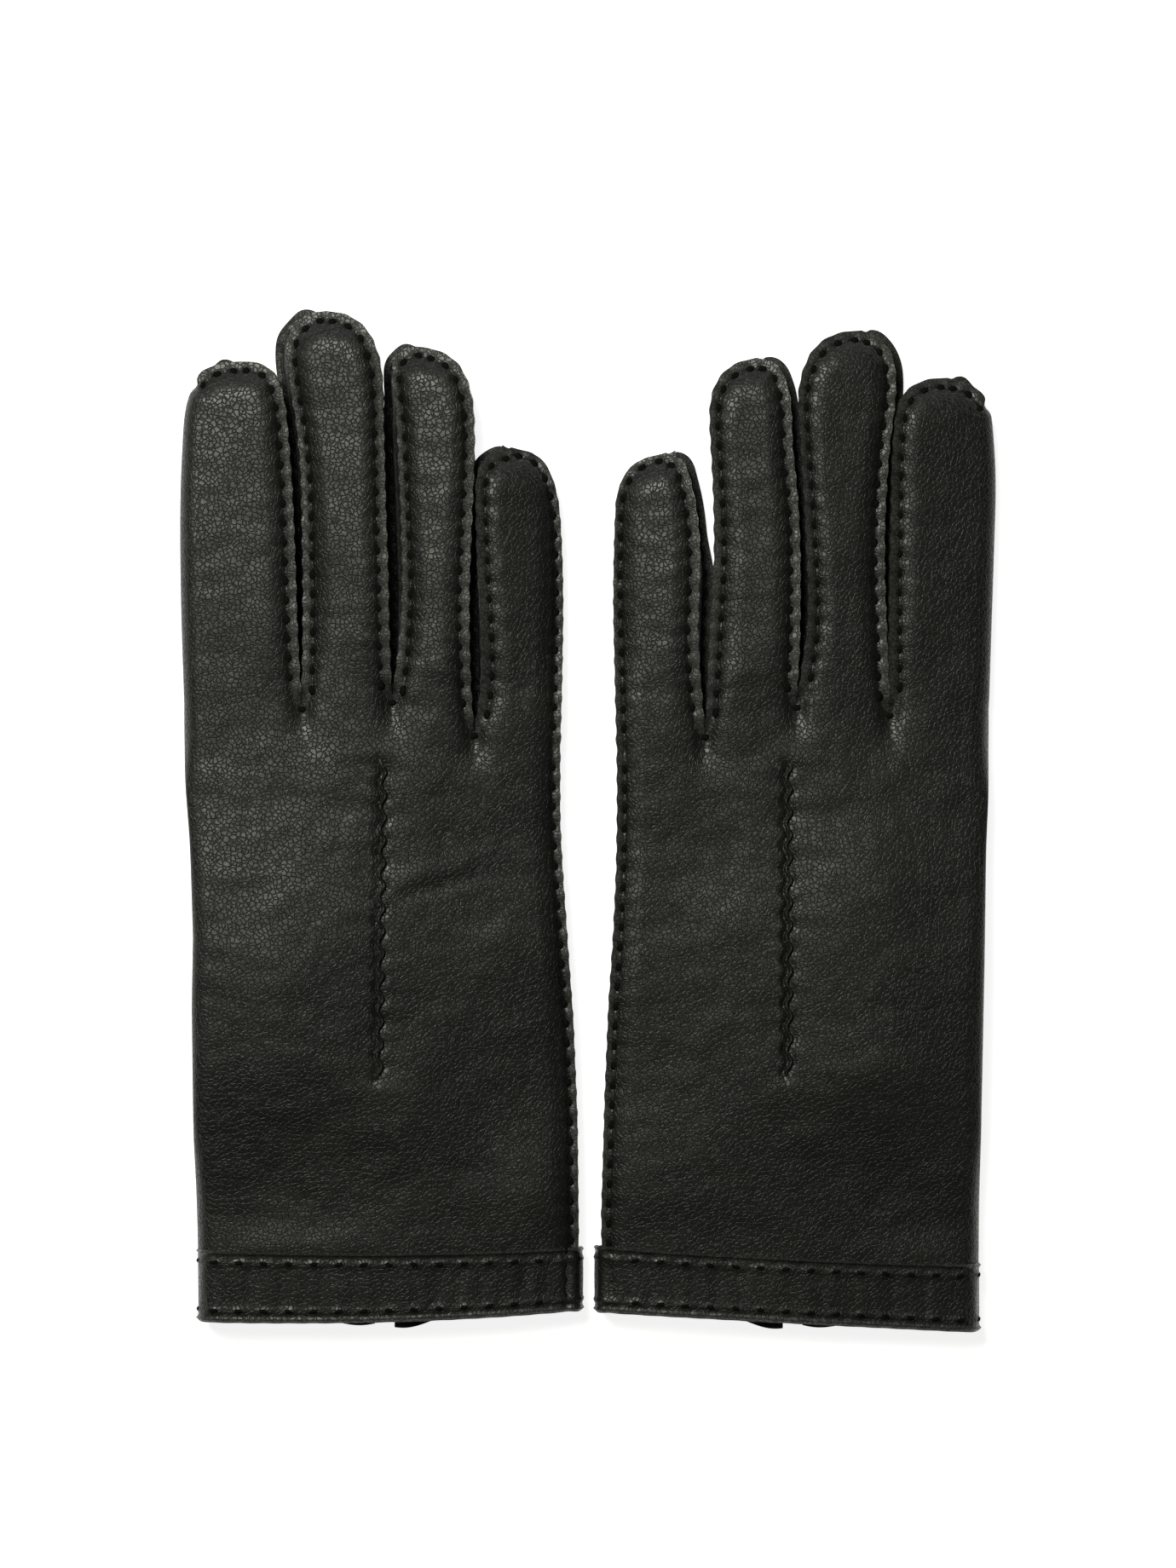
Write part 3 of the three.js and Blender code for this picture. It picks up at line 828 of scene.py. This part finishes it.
def fingerPalm(glove, finger, column, fraction, inset=None):
    low = column <= fingerColumns // 2
    step = column if low else fingerColumns - column
    kind = sideKind(finger, low)
    line = insetOf(finger, low)
    wrapped = kind == "seam" and step <= sideCount and inset is None
    whole = finger["lowLength" if low else "highLength"]
    length = fraction * whole
    fromTip = whole - length
    if wrapped:
        inset, share = wrapPlace(step, line, 1.0, 0.0)
    x, y, distance, low = fingerPlace(finger, column, fraction, inset)
    held = 1.0
    if kind != "joined":
        held = mix(ease(0, 9, distance), 1.0, ease(0.9, 1.0, fraction))
    x -= palmSlide(glove, finger, low, fraction, distance) * held
    y += tipBump(low, fromTip) * (1 - min(1.0, distance / 5)) + 0.4 * ease(0.93, 1.0, fraction)
    own = fingerPalmZ(finger, x, y)
    start = handPalmZ(glove, x, y)
    grown = ease(0, 3.5 + 12 * min(1.0, distance / 7), length)
    if wrapped:
        bottom = mix(start, own, grown)
        flange = flangeUnder(glove, x, y, min(distance, line), fromTip, finger, fraction)
        # painted highlight on the flange's raw edge
        return x, y, mix(bottom, flange, share), 1.0 if step < 3 else 0.0
    fold = isFold(finger, low, fraction)
    rise = palmSeamRise(distance, line, fromTip) if kind != "seam" else 0.0
    if kind == "fold":
        base = palmHeight(x, y)
        handRise = foldDrop(distance, (backHeight(glove, x, y) - base) / 2)
        start = base + mix(start - base, 0.0, 1 - min(1.0, distance / 4)) + handRise
    if fold > 0:
        rise = mix(rise, foldDrop(distance, fingerMiddle(finger, x, y) - own), fold)
    # a weaker painted highlight on the palm side's flange
    mask = 0.3 * (1 - fold) * (1 - ease(line - 0.7, line - 0.1, distance)) * ease(0, 3, length)
    return x + tipNotch(finger, low, length, distance), y, mix(start, own + rise, grown), mask

def fingerPalmShape(glove, finger):
    def shape(column, row):
        x, y, z, mask = fingerPalm(glove, finger, column, row / fingerRows)
        return toWorld(glove, x, y, z), mask
    return shape

def ventHalf(y):
    size = handSizes
    return size["ventMouth"] / 2 * (1 - 0.75 * ease(size["ventHeight"] * 0.3, size["ventHeight"], y))

def ventColumn(glove):
    # last column on the index side of the vent
    for column in range(4 * fingerColumns):
        if handPlace(glove, column + 1, 0.1)[0] > handSizes["ventX"]:
            return column

def handPalm(glove, column, fraction):
    x, y, distance, kind = handPlace(glove, column, fraction)
    finger, step = handColumn(glove, column)
    fromTip = sideFromTip(glove, y)
    if kind == "seam":
        line = leatherSizes["sideInset"]
        place, share = wrapPlace(fingerColumns - step, line, 1.0, 0.0)
        x += distance - place
        top = flangeUnder(glove, x, y, min(place, line), fromTip)
        # painted highlight on the flange's raw edge
        return x, y, mix(handPalmZ(glove, x, y), top, share), 1.0 if fingerColumns - step < 3 else 0.0
    z = handPalmZ(glove, x, y)
    if kind == "fold":
        base = palmHeight(x, y)
        foldRise = foldDrop(distance, (backHeight(glove, x, y) - base) / 2)
        z = base + (z - base) * min(1.0, distance / 4) + foldRise
    if y < handSizes["ventHeight"]:
        side = -1 if column <= glove["ventColumn"] else 1
        edge = handPlace(glove, glove["ventColumn"] + (1 if side > 0 else 0), fraction)[0]
        goal = handSizes["ventX"] + side * ventHalf(y)
        x += (goal - edge) * math.exp(-abs(x - edge) / 6)
    return x, y, z, 0.0

def handPalmShape(glove):
    def shape(column, row):
        x, y, z, mask = handPalm(glove, column, row / handRows)
        return toWorld(glove, x, y, z), mask
    return shape

def makePalm(glove):
    name = glove["name"]
    glove["ventColumn"] = ventColumn(glove)
    ventRow = int(handRows * handSizes["ventHeight"] / 152)
    def cut(column, row):
        return column == glove["ventColumn"] and row < ventRow
    shape = handPalmShape(glove)
    hand = makeSheet(f"{name}_handPalm", 4 * fingerColumns, handRows, shape, (0, 0, -1), cut=cut)
    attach(finishPiece(hand, leatherFinish, "leather", f"{name}_hand_palm"), f"{name}_hand")
    for fingerName in fingerNames:
        finger = glove["fingers"][fingerName]
        shape = fingerPalmShape(glove, finger)
        palm = makeSheet(f"{name}_{fingerName}Palm", fingerColumns, fingerRows, shape, (0, 0, -1), weld=True)
        finishPiece(palm, leatherFinish, "leather", f"{name}_{fingerName}_palm")
        bendWithFinger(palm, glove, fingerName)


fourchetteColumns = 16

def fourchetteShape(glove, finger, low):
    edgeColumn = 0 if low else fingerColumns
    line = leatherSizes["stitchInset"]
    thickness = leatherSizes["thickness"] + 0.04
    def shape(column, row):
        fraction = row / fingerRows
        if column <= 3 or column >= fourchetteColumns - 3:
            step = column if column <= 3 else fourchetteColumns - column
            inset = mix(0.12, line, step / 3)
            if column <= 3:
                x, y, z, mask = fingerBack(glove, finger, edgeColumn, fraction, inset)
                z -= thickness
            else:
                x, y, z, mask = fingerPalm(glove, finger, edgeColumn, fraction, inset)
                z += thickness
            # painted highlight on the raw edges of the fourchette
            return toWorld(glove, x, y, z), 1.0 if step < 3 else 0.0
        t = (column - 3) / (fourchetteColumns - 6)
        top = Vector(fingerBack(glove, finger, edgeColumn, fraction, line)[:3])
        bottom = Vector(fingerPalm(glove, finger, edgeColumn, fraction, line)[:3])
        top.z -= thickness
        bottom.z += thickness
        edge = along(finger["lowCurve" if low else "highCurve"], fraction)
        outward = (edge - along(finger["spine"], fraction)).normalized()
        swell = 1.1 * math.sin(math.pi * t) + 0.12 * ripple(top.y, t * 6, 5, 31)
        place = top.lerp(bottom, t)
        return toWorld(glove, place.x + outward.x * swell, place.y + outward.y * swell, place.z), 0.0
    return shape

def makeFourchettes(glove):
    name = glove["name"]
    for fingerName in fingerNames:
        finger = glove["fingers"][fingerName]
        for low in (True, False):
            if sideKind(finger, low) != "joined":
                continue
            side = "thumb" if low else "outer"
            facing = (-glove["sign"] if low else glove["sign"], 0, 0)
            shape = fourchetteShape(glove, finger, low)
            pieceName = f"{name}_{fingerName}Fourchette_{side}"
            wall = makeSheet(pieceName, fourchetteColumns, fingerRows, shape, facing)
            finishPiece(wall, leatherFinish, "leather", f"{name}_{fingerName}_fourchette_{side}_side")
            bendWithFinger(wall, glove, fingerName)

def makeQuirks(glove):
    name = glove["name"]
    line = leatherSizes["stitchInset"]
    for first, second in zip(fingerNames, fingerNames[1:]):
        cx, cy = glove["fingers"][first]["high"][0]
        top = backHeight(glove, cx, cy) - 1.9
        bottom = handPalmZ(glove, cx, cy) + 1.7
        def shape(column, row):
            turn = math.pi * column / 12
            z = mix(bottom, top, row / 6)
            y = cy + mix(6.5, 1.4, ease(0, 1, row / 6))
            return toWorld(glove, cx - (line - 0.6) * math.cos(turn), y - 2.4 * math.sin(turn), z), 0.0
        quirk = makeSheet(f"{name}_quirk_{first}_{second}", 12, 6, shape, (0, 1, 0), thickness=0.7)
        finishPiece(quirk, leatherFinish, "leather", f"{name}_quirk_{first}_{second}")
        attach(quirk, f"{name}_hand")


stitchSizes = {"length": 2.7, "width": 1.9, "height": 0.9, "dip": 0.3}

def makeStitch():
    size = stitchSizes
    bpy.ops.mesh.primitive_uv_sphere_add(segments=8, ring_count=6, radius=0.5)
    obj = bpy.context.object
    obj.name = "stitch"
    obj.rotation_euler = (0, math.pi / 2, 0)
    bpy.ops.object.transform_apply(rotation=True)
    obj.scale = (size["length"] * mm, size["width"] * mm, size["height"] * mm)
    bpy.ops.object.transform_apply(scale=True)
    for vertex in obj.data.vertices:
        vertex.co.z -= size["dip"] * mm * (2 * vertex.co.x / (size["length"] * mm)) ** 2
    bpy.ops.object.shade_smooth()
    return obj

stitch = makeStitch()

def sewRow(name, places, length=1.0, width=1.0):
    # copies of the stitch at each (place, direction, up), joined into one piece
    made = []
    for i, (place, direction, up) in enumerate(places):
        one = stitch.copy()
        if i == 0:
            one.data = stitch.data.copy()
        bpy.context.collection.objects.link(one)
        turned = Matrix.Rotation(0.16 * math.sin(7.3 * i + len(name)), 3, Vector(up)) @ direction.normalized()
        across = Vector(up).cross(turned).normalized()
        basis = Matrix((turned * length, across * width, turned.cross(across))).transposed().to_4x4()
        one.matrix_world = Matrix.Translation(place) @ basis
        made.append(one)
    bpy.ops.object.select_all(action="DESELECT")
    for one in made:
        one.select_set(True)
    bpy.context.view_layer.objects.active = made[0]
    bpy.context.view_layer.update()
    bpy.ops.object.join()
    bpy.ops.object.transform_apply(location=True, rotation=True, scale=True)
    row = bpy.context.object
    for vertex in row.data.vertices:
        vertex.co.z = max(vertex.co.z, 0.0)     # the table presses the thread flat
    row.name = row.data.name = name
    return finishPiece(row, threadFinish, "thread")

def fingerStitches(glove, finger, low, palm):
    place = fingerPalm if palm else fingerBack
    edgeColumn = 0 if low else fingerColumns
    whole = finger["lowLength" if low else "highLength"]
    pitch = leatherSizes["stitchPitch"]
    places = []
    count = int(whole / pitch)
    for k in range(count):
        fraction = 1 - (k + 0.5) * pitch / whole
        if isFold(finger, low, fraction) > 0.2:
            continue
        if palm and sideKind(finger, low) == "seam" and fraction < 0.9:
            continue
        line = insetOf(finger, low)
        fractions = [fraction + step / whole for step in (0, -0.8, 0.8)]
        here, before, after = [place(glove, finger, edgeColumn, value, inset=line) for value in fractions]
        spot = toWorld(glove, here[0], here[1], here[2] + (-0.4 if palm else 0.4))
        direction = toWorld(glove, *after[:3]) - toWorld(glove, *before[:3])
        places.append((spot, direction, (0, 0, -1 if palm else 1)))
    return places

def makeFingerSeams(glove):
    name = glove["name"]
    for fingerName in fingerNames:
        finger = glove["fingers"][fingerName]
        for palm in (False, True):
            places = fingerStitches(glove, finger, True, palm) + fingerStitches(glove, finger, False, palm)
            row = sewRow(f"{name}_{fingerName}Stitches{'Palm' if palm else 'Back'}", places)
            bendWithFinger(row, glove, fingerName)

def makeSideSeam(glove):
    pitch = leatherSizes["stitchPitch"]
    line = leatherSizes["sideInset"]
    places = []
    for k in range(14, 60):
        y = sideFromTip(glove, 0) - (k + 0.5) * pitch
        if not 17 < y < glove["seam"][-1][1] - 1.5:
            continue
        spots = []
        for step in (0, -0.8, 0.8):
            x = edgeAt(glove["seam"], y + step) - line
            z = handBackZ(glove, x, y + step, line, "seam", sideFromTip(glove, y)) + 0.4
            spots.append(toWorld(glove, x, y + step, z))
        places.append((spots[0], spots[2] - spots[1], (0, 0, 1)))
    row = sewRow(f"{glove['name']}_sideStitches", places)
    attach(row, f"{glove['name']}_hand")
    places = []
    for fingerName in fingerNames[:-1]:
        x, y = glove["fingers"][fingerName]["high"][0]
        spot = toWorld(glove, x, y - 1.1, backHeight(glove, x, y - 1.1) + 0.1)
        places.append((spot, Vector((1, 0.1, 0)), (0, 0, 1)))
    row = sewRow(f"{glove['name']}_tacks", places, length=1.15, width=0.9)
    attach(row, f"{glove['name']}_hand")


def makePoint(glove):
    size = pointSizes
    name = glove["name"]
    low, high = glove["point"][0][1], glove["point"][1][1]
    rows = 220
    def shape(column, row):
        y = mix(low, high, row / rows)
        turn = math.pi * column / 8
        centre = pointCentre(glove, y)
        ends = ease(0, 2.5, y - low) * ease(0, 2.5, high - y)
        rise = size["height"] * ends * max(0.0, math.sin(turn)) ** 1.2
        x = centre - size["width"] / 2 * math.cos(turn)
        z = backHeight(glove, centre, y) - 0.35 + rise
        # the crest gets painted highlight
        return toWorld(glove, x, y, z), 0.5 * max(0.0, math.sin(turn)) ** 3
    ridge = makeSheet(f"{name}_point", 8, rows, shape, (0, 0, 1), thickness=0.25)
    finishPiece(ridge, leatherFinish, "leather")
    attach(ridge, f"{name}_hand")


bandSizes = {
    "height": 16.4,
    "proud": 1.15,
    "thickness": 0.9,
    "stitchPitch": 6.2,
    "stitchInset": 2.3,
}

def bandRing(glove):
    # the band's outer face seen along the hand, from the vent round the fold, over the back and round to
    # the vent
    size = bandSizes
    low = handSizes["wristLift"] - size["proud"]
    points = []
    left, right = -42.0, 42.0
    lip = handSizes["ventMouth"] / 2
    for i in range(21):
        points.append(Vector((mix(handSizes["ventX"] - lip, left, i / 20), low)))
    def top(x):
        return handSizes["backHeight"] + handSizes["wristLift"] + size["proud"] + dome(glove, x)
    for i in range(1, 16):
        turn = math.pi * i / 16
        middle = (low + top(left)) / 2
        y = middle - (top(left) - low) / 2 * math.cos(turn)
        points.append(Vector((left - 5.5 * math.sin(turn) ** 0.8, y)))
    for i in range(61):
        x = mix(left, right, i / 60)
        points.append(Vector((x, top(x))))
    for i in range(1, 16):
        turn = math.pi * i / 16
        middle = (low + top(right)) / 2
        y = middle + (top(right) - low) / 2 * math.cos(turn)
        points.append(Vector((right + 6.2 * math.sin(turn) ** 0.8, y)))
    for i in range(21):
        points.append(Vector((mix(right, handSizes["ventX"] + lip, i / 20), low)))
    return points

def layBand(glove):
    points = bandRing(glove)
    lengths = [0.0]
    for a, b in zip(points, points[1:]):
        lengths.append(lengths[-1] + (b - a).length)
    glove["ring"], glove["ringLengths"] = points, lengths
    glove["sideLine"] = lengths[21 + 15 + 61] + 0.6

def ringAt(glove, length):
    points, lengths = glove["ring"], glove["ringLengths"]
    i = 0
    while i < len(points) - 2 and lengths[i + 1] < length:
        i += 1
    step = (points[i + 1] - points[i])
    t = (length - lengths[i]) / (lengths[i + 1] - lengths[i])
    return points[i].lerp(points[i + 1], t), Vector((-step.y, step.x)).normalized()

def bandEdges(glove, x, under):
    # lower and upper edge of the band; under is 1 on the palm side
    low, high = lineAt(glove["hem"], x), lineAt(glove["bandTop"], x)
    side = x - handSizes["ventX"]
    dip = 3.6 * bell(side - 5, 9) if side > 0 else 2.7 * bell(side + 6, 9)
    return low - under * dip, high - 0.5 * under * dip

def edgesAt(glove, place):
    middle = (glove["ring"][0].y + handSizes["backHeight"]) / 2
    return bandEdges(glove, place.x, 1 - ease(middle - 4, middle + 4, place.y))

def bandPlace(glove, length, across, sink=0.0):
    size = bandSizes
    place, out = ringAt(glove, length)
    low, high = edgesAt(glove, place)
    tall = high - low
    y = low + across
    edge = min(across, tall - across)
    curl = 0.55 * (1 - min(1.0, edge / 0.9)) ** 2
    stitches = math.cos(2 * math.pi * length / size["stitchPitch"])
    groove = bell(edge - size["stitchInset"], 0.6) * (0.28 + 0.2 * stitches)
    crease = 0.42 * ripple(length, across * 0.2, 3.4, 41) * ease(1.5, 4, edge)
    crease = crease + 0.3 * ripple(length, across, 17, 43)
    wavy = 0.12 * stitches * (1 - min(1.0, edge / 1.6))
    fromSide = length - glove["sideLine"]
    wavy += 0.55 * bell(fromSide, 0.7) - 0.55 * bell(fromSide - 2.6, 1.7)
    shift = crease - curl - groove + wavy - sink
    if out.y < 0:
        shift = mix(shift, max(shift, -0.02), min(1.0, -3 * out.y))
    return place.x - out.x * shift, y, place.y - out.y * shift

def makeBandPiece(glove, name, node, start, end, endLump=0.0):
    columns = max(12, int(abs(end - start) / 0.9))
    stops = [0, 0.25, 0.6, 1.0, 1.4, 1.9, 2.4, 3.0, 4.0]
    rows = 2 * len(stops) + 6
    def shape(column, row):
        length = mix(start, end, column / columns)
        place, out = ringAt(glove, length)
        low, high = edgesAt(glove, place)
        tall = high - low
        if row < len(stops):
            across = stops[row]
        elif row > rows - len(stops):
            across = tall - stops[rows - row]
        else:
            across = mix(stops[-1], tall - stops[-1], (row - len(stops) + 1) / (rows - 2 * len(stops) + 2))
        x, y, z = bandPlace(glove, length, across)
        fromEnd = abs(end - length)
        if endLump and fromEnd < 2.0:
            swell = endLump * (1 - (fromEnd / 2.0) ** 2)
            x, z = x - out.x * swell, z - out.y * swell
        edge = min(across, tall - across)
        # painted highlight along both rims of the band
        return toWorld(glove, x, y, z), 0.8 * bell(edge - 0.5, 0.55)
    place, out = ringAt(glove, (start + end) / 2)
    facing = (glove["sign"] * out.x, 0, out.y)
    band = makeSheet(name, columns, rows, shape, facing, thickness=bandSizes["thickness"])
    finishPiece(band, leatherFinish, "leather", node)
    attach(band, f"{glove['name']}_hand")

def makeBand(glove):
    name = glove["name"]
    size = bandSizes
    layBand(glove)
    lengths = glove["ringLengths"]
    sideEnd = lengths[21 + 15 + 61 + 7]
    makeBandPiece(glove, f"{name}_band", f"{name}_wrist_band", 0.0, sideEnd + 1.2)
    shortNode = f"{name}_wrist_band_short"
    makeBandPiece(glove, f"{name}_bandShort", shortNode, sideEnd + 1.9, lengths[-1], endLump=0.35)
    for under, span in (("Top", (6, sideEnd - 9)), ("Palm", (sideEnd + 6, lengths[-1] - 3))):
        for edgeName, upper in (("Upper", True), ("Lower", False)):
            places = []
            length = size["stitchPitch"] * math.ceil(span[0] / size["stitchPitch"])
            while length < span[1]:
                spots = []
                for step in (0, -0.6, 0.6):
                    place, out = ringAt(glove, length + step)
                    low, high = edgesAt(glove, place)
                    across = high - low - size["stitchInset"] if upper else size["stitchInset"]
                    spots.append(toWorld(glove, *bandPlace(glove, length + step, across, sink=-0.3)))
                place, out = ringAt(glove, length)
                places.append((spots[0], spots[2] - spots[1], (glove["sign"] * out.x, 0, out.y)))
                length += size["stitchPitch"]
            row = sewRow(f"{name}_bandStitches{under}{edgeName}", places, length=1.1, width=0.6)
            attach(row, f"{name}_hand")
    # a short upright row beside the rolled end at the seam
    places = []
    for across in (3.6, 7.2, 10.8, 14.2):
        steps = (0, -0.6, 0.6)
        onBand = [bandPlace(glove, glove["sideLine"], across + step, sink=-0.15) for step in steps]
        spots = [toWorld(glove, *spot) for spot in onBand]
        out = ringAt(glove, glove["sideLine"])[1]
        places.append((spots[0], spots[2] - spots[1], (glove["sign"] * out.x, 0, out.y)))
    row = sewRow(f"{name}_bandStitchesSide", places, width=0.7)
    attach(row, f"{name}_hand")

def makeVentBinding(glove):
    name = glove["name"]
    top = handSizes["ventHeight"]
    path = []
    for i in range(31):
        y = mix(2.0, top, i / 30)
        path.append((Vector((handSizes["ventX"] - ventHalf(y), y)), Vector((1, 0))))
    for i in range(1, 8):
        turn = math.pi * i / 8
        half = ventHalf(top)
        place = Vector((handSizes["ventX"] - half * math.cos(turn), top + half * math.sin(turn)))
        path.append((place, Vector((math.cos(turn), -math.sin(turn)))))
    for i in range(31):
        y = mix(top, 2.0, i / 30)
        path.append((Vector((handSizes["ventX"] + ventHalf(y), y)), Vector((-1, 0))))
    profile = [
        (-2.2, -0.1), (-2.0, -0.4), (-1.2, -0.5), (-0.2, -0.5), (0.35, -0.25),
        (0.5, 0.4), (0.35, 1.0), (-0.2, 1.2), (-1.2, 1.25), (-2.2, 1.2),
    ]
    def shape(column, row):
        place, inward = path[row]
        reach, rise = profile[column]
        spot = place + inward * reach
        z = handPalmZ(glove, place.x, place.y) + rise
        # the whole binding is coloured lighter with painted highlight, where it lies in shade
        return toWorld(glove, spot.x, spot.y, z), 0.4
    columns, rows = len(profile) - 1, len(path) - 1
    binding = makeSheet(f"{name}_ventBinding", columns, rows, shape, (0, 0, -1), thickness=0.35)
    finishPiece(binding, leatherFinish, "leather", f"{name}_vent_binding")
    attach(binding, f"{name}_hand")


thumbSizes = {
    "base": (-34.0, 72.0), "baseRadius": 13.8, "tip": (-28.6, 115.7), "tipRadius": 11.6,
    "thickness": 7.2, "inset": 2.0,
}

def thumbOutline(share):
    # half width at a share of the way from the base's low end to the tip
    size = thumbSizes
    base, tip = Vector(size["base"]), Vector(size["tip"])
    whole = size["baseRadius"] + (tip - base).length + size["tipRadius"]
    reach = share * whole - size["baseRadius"]
    span = (tip - base).length
    if reach < 0:
        half = math.sqrt(max(0.0, size["baseRadius"] ** 2 - reach ** 2))
    elif reach < span:
        half = mix(size["baseRadius"], size["tipRadius"], ease(0, span, reach))
        half = half - 1.0 * math.sin(math.pi * reach / span)
    else:
        half = math.sqrt(max(0.0, size["tipRadius"] ** 2 - (reach - span) ** 2))
    way = (tip - base).normalized()
    return base + way * reach, Vector((way.y, -way.x)), half

def thumbPlace(column, row, columns, rows):
    size = thumbSizes
    share = 0.5 - 0.5 * math.cos(math.pi * min(0.999, max(0.001, row / rows)))
    centre, side, half = thumbOutline(share)
    turn = 2 * math.pi * column / columns
    reach = math.copysign(abs(math.cos(turn)) ** 0.7, math.cos(turn)) * half
    plump = size["thickness"] / 2 * min(1.0, (half / 8.0)) ** 0.6
    rise = math.copysign(abs(math.sin(turn)) ** 0.75, math.sin(turn)) * plump
    nearSeam = bell(min(turn, 2 * math.pi - turn), 0.2) * min(1.0, half / 8)
    reach += 2.0 * nearSeam
    spot = centre + side * reach
    rise += 0.12 * ripple(spot.x, spot.y, 7, 51)
    return spot.x, spot.y, size["thickness"] / 2 + 0.15 + rise

def makeThumb(glove):
    name = glove["name"]
    size = thumbSizes
    columns, rows = 64, 80
    def shape(column, row):
        return toWorld(glove, *thumbPlace(column % columns, row, columns, rows)), 0.0
    thumb = makeSheet(f"{name}_thumb", columns, rows, shape, (0, 0, 0), thickness=0.8, weld=True)
    finishPiece(thumb, leatherFinish, "leather", f"{name}_thumb")
    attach(thumb, f"{name}_thumb")
    places = []
    share = 0.2
    while share < 0.97:
        spots = []
        for step in (0, -0.01, 0.01):
            centre, side, half = thumbOutline(share + step)
            spot = centre + side * (half - 0.3)
            spots.append(toWorld(glove, spot.x, spot.y, size["thickness"] / 2 - 0.55))
        places.append((spots[0], spots[2] - spots[1], (0, 0, -1)))
        share += leatherSizes["stitchPitch"] / 70
    row = sewRow(f"{name}_thumbStitches", places)
    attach(row, f"{name}_thumb")


liningSizes = {"inset": 3.3, "thickness": 0.35}

def roundedPlace(turn, power=0.6):
    # a place on a flattened ring, -1 to 1 both ways
    across, up = math.cos(turn), math.sin(turn)
    return math.copysign(abs(across) ** power, across), math.copysign(abs(up) ** power, up)

liningRows = 60

def makeTube(name, columns, shape):
    # a closed lining tube, wound round and welded where its sides meet
    thickness = liningSizes["thickness"]
    return makeSheet(name, columns, liningRows, shape, (0, 0, 0), thickness=thickness, weld=True)

def makeLinings(glove):
    name = glove["name"]
    size = liningSizes
    columns = 40
    def handShape(column, row):
        across, up = roundedPlace(2 * math.pi * (column % columns) / columns)
        y = mix(4.0, 149.5, row / liningRows)
        low, high = edgeAt(glove["fold"], y) + 1.9, edgeAt(glove["seam"], y) - size["inset"] - 0.6
        x = mix(low, high, 0.5 + 0.5 * across)
        top, bottom = backHeight(glove, x, y) - 2.0, palmHeight(x, y) + 1.5
        for fingerName in fingerNames[:-1]:
            cx, cy = glove["fingers"][fingerName]["high"][0]
            top -= 1.0 * bell(x - cx, 4) * bell(max(0.0, cy - y), 8)
        middle = (top + bottom) / 2
        return toWorld(glove, x, y, middle + up * max(0.4, (top - bottom) / 2)), 0.0
    hand = makeTube(f"{name}_handLining", columns, handShape)
    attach(finishPiece(hand, liningFinish, "lining", f"{name}_hand_lining"), f"{name}_hand")
    for fingerName in fingerNames:
        finger = glove["fingers"][fingerName]
        def fingerShape(column, row):
            across, up = roundedPlace(2 * math.pi * (column % columns) / columns)
            fraction = mix(0.015, 0.93, row / liningRows)
            low, high = along(finger["lowCurve"], fraction), along(finger["highCurve"], fraction)
            middle = along(finger["spine"], fraction)
            reach = [(middle - edge).normalized() * size["inset"] for edge in (low, high)]
            low, high = low + reach[0], high + reach[1]
            slide = palmSlide(glove, finger, False, fraction, 9) / 2
            closing = 1 - ease(0.9, 1.0, row / liningRows) * 0.97
            spot = low.lerp(high, 0.5 + 0.5 * across * closing)
            top = min(fingerTop(glove, finger, spot.x, spot.y), 8.6) - 2.4
            bottom = fingerPalmZ(finger, spot.x, spot.y) + 1.9
            z = (top + bottom) / 2 + up * closing * (top - bottom) / 2
            return toWorld(glove, spot.x - slide, spot.y, z), 0.0
        lining = makeTube(f"{name}_{fingerName}Lining", columns, fingerShape)
        finishPiece(lining, liningFinish, "lining", f"{name}_{fingerName}_lining")
        bendWithFinger(lining, glove, fingerName)
    def thumbShape(column, row):
        x, y, z = thumbPlace(column % 64, mix(6, 74, row / liningRows), 64, 80)
        centre = Vector(thumbSizes["base"]).lerp(Vector(thumbSizes["tip"]), clamp((y - 72) / 44))
        middle = thumbSizes["thickness"] / 2 + 0.15
        closing = 1 - 0.97 * ease(0.94, 1.0, row / liningRows)
        x, y = mix(centre.x, x, 0.84 * closing), mix(centre.y, y, 0.92)
        return toWorld(glove, x, y, middle + (z - middle) * 0.62 * closing), 0.0
    lining = makeTube(f"{name}_thumbLining", 64, thumbShape)
    finishPiece(lining, liningFinish, "lining", f"{name}_thumb_lining")
    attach(lining, f"{name}_thumb")

for glove in (rightGlove, leftGlove):
    layGlove(glove)
    makeBack(glove)
    makePalm(glove)
    makeFourchettes(glove)
    makeQuirks(glove)
    print(glove["name"], "leather is made")
    makeFingerSeams(glove)
    makeSideSeam(glove)
    makePoint(glove)
    makeBand(glove)
    makeVentBinding(glove)
    makeThumb(glove)
    makeLinings(glove)
    print(glove["name"], "seams, band, thumb and linings are made")

bpy.data.objects.remove(stitch)
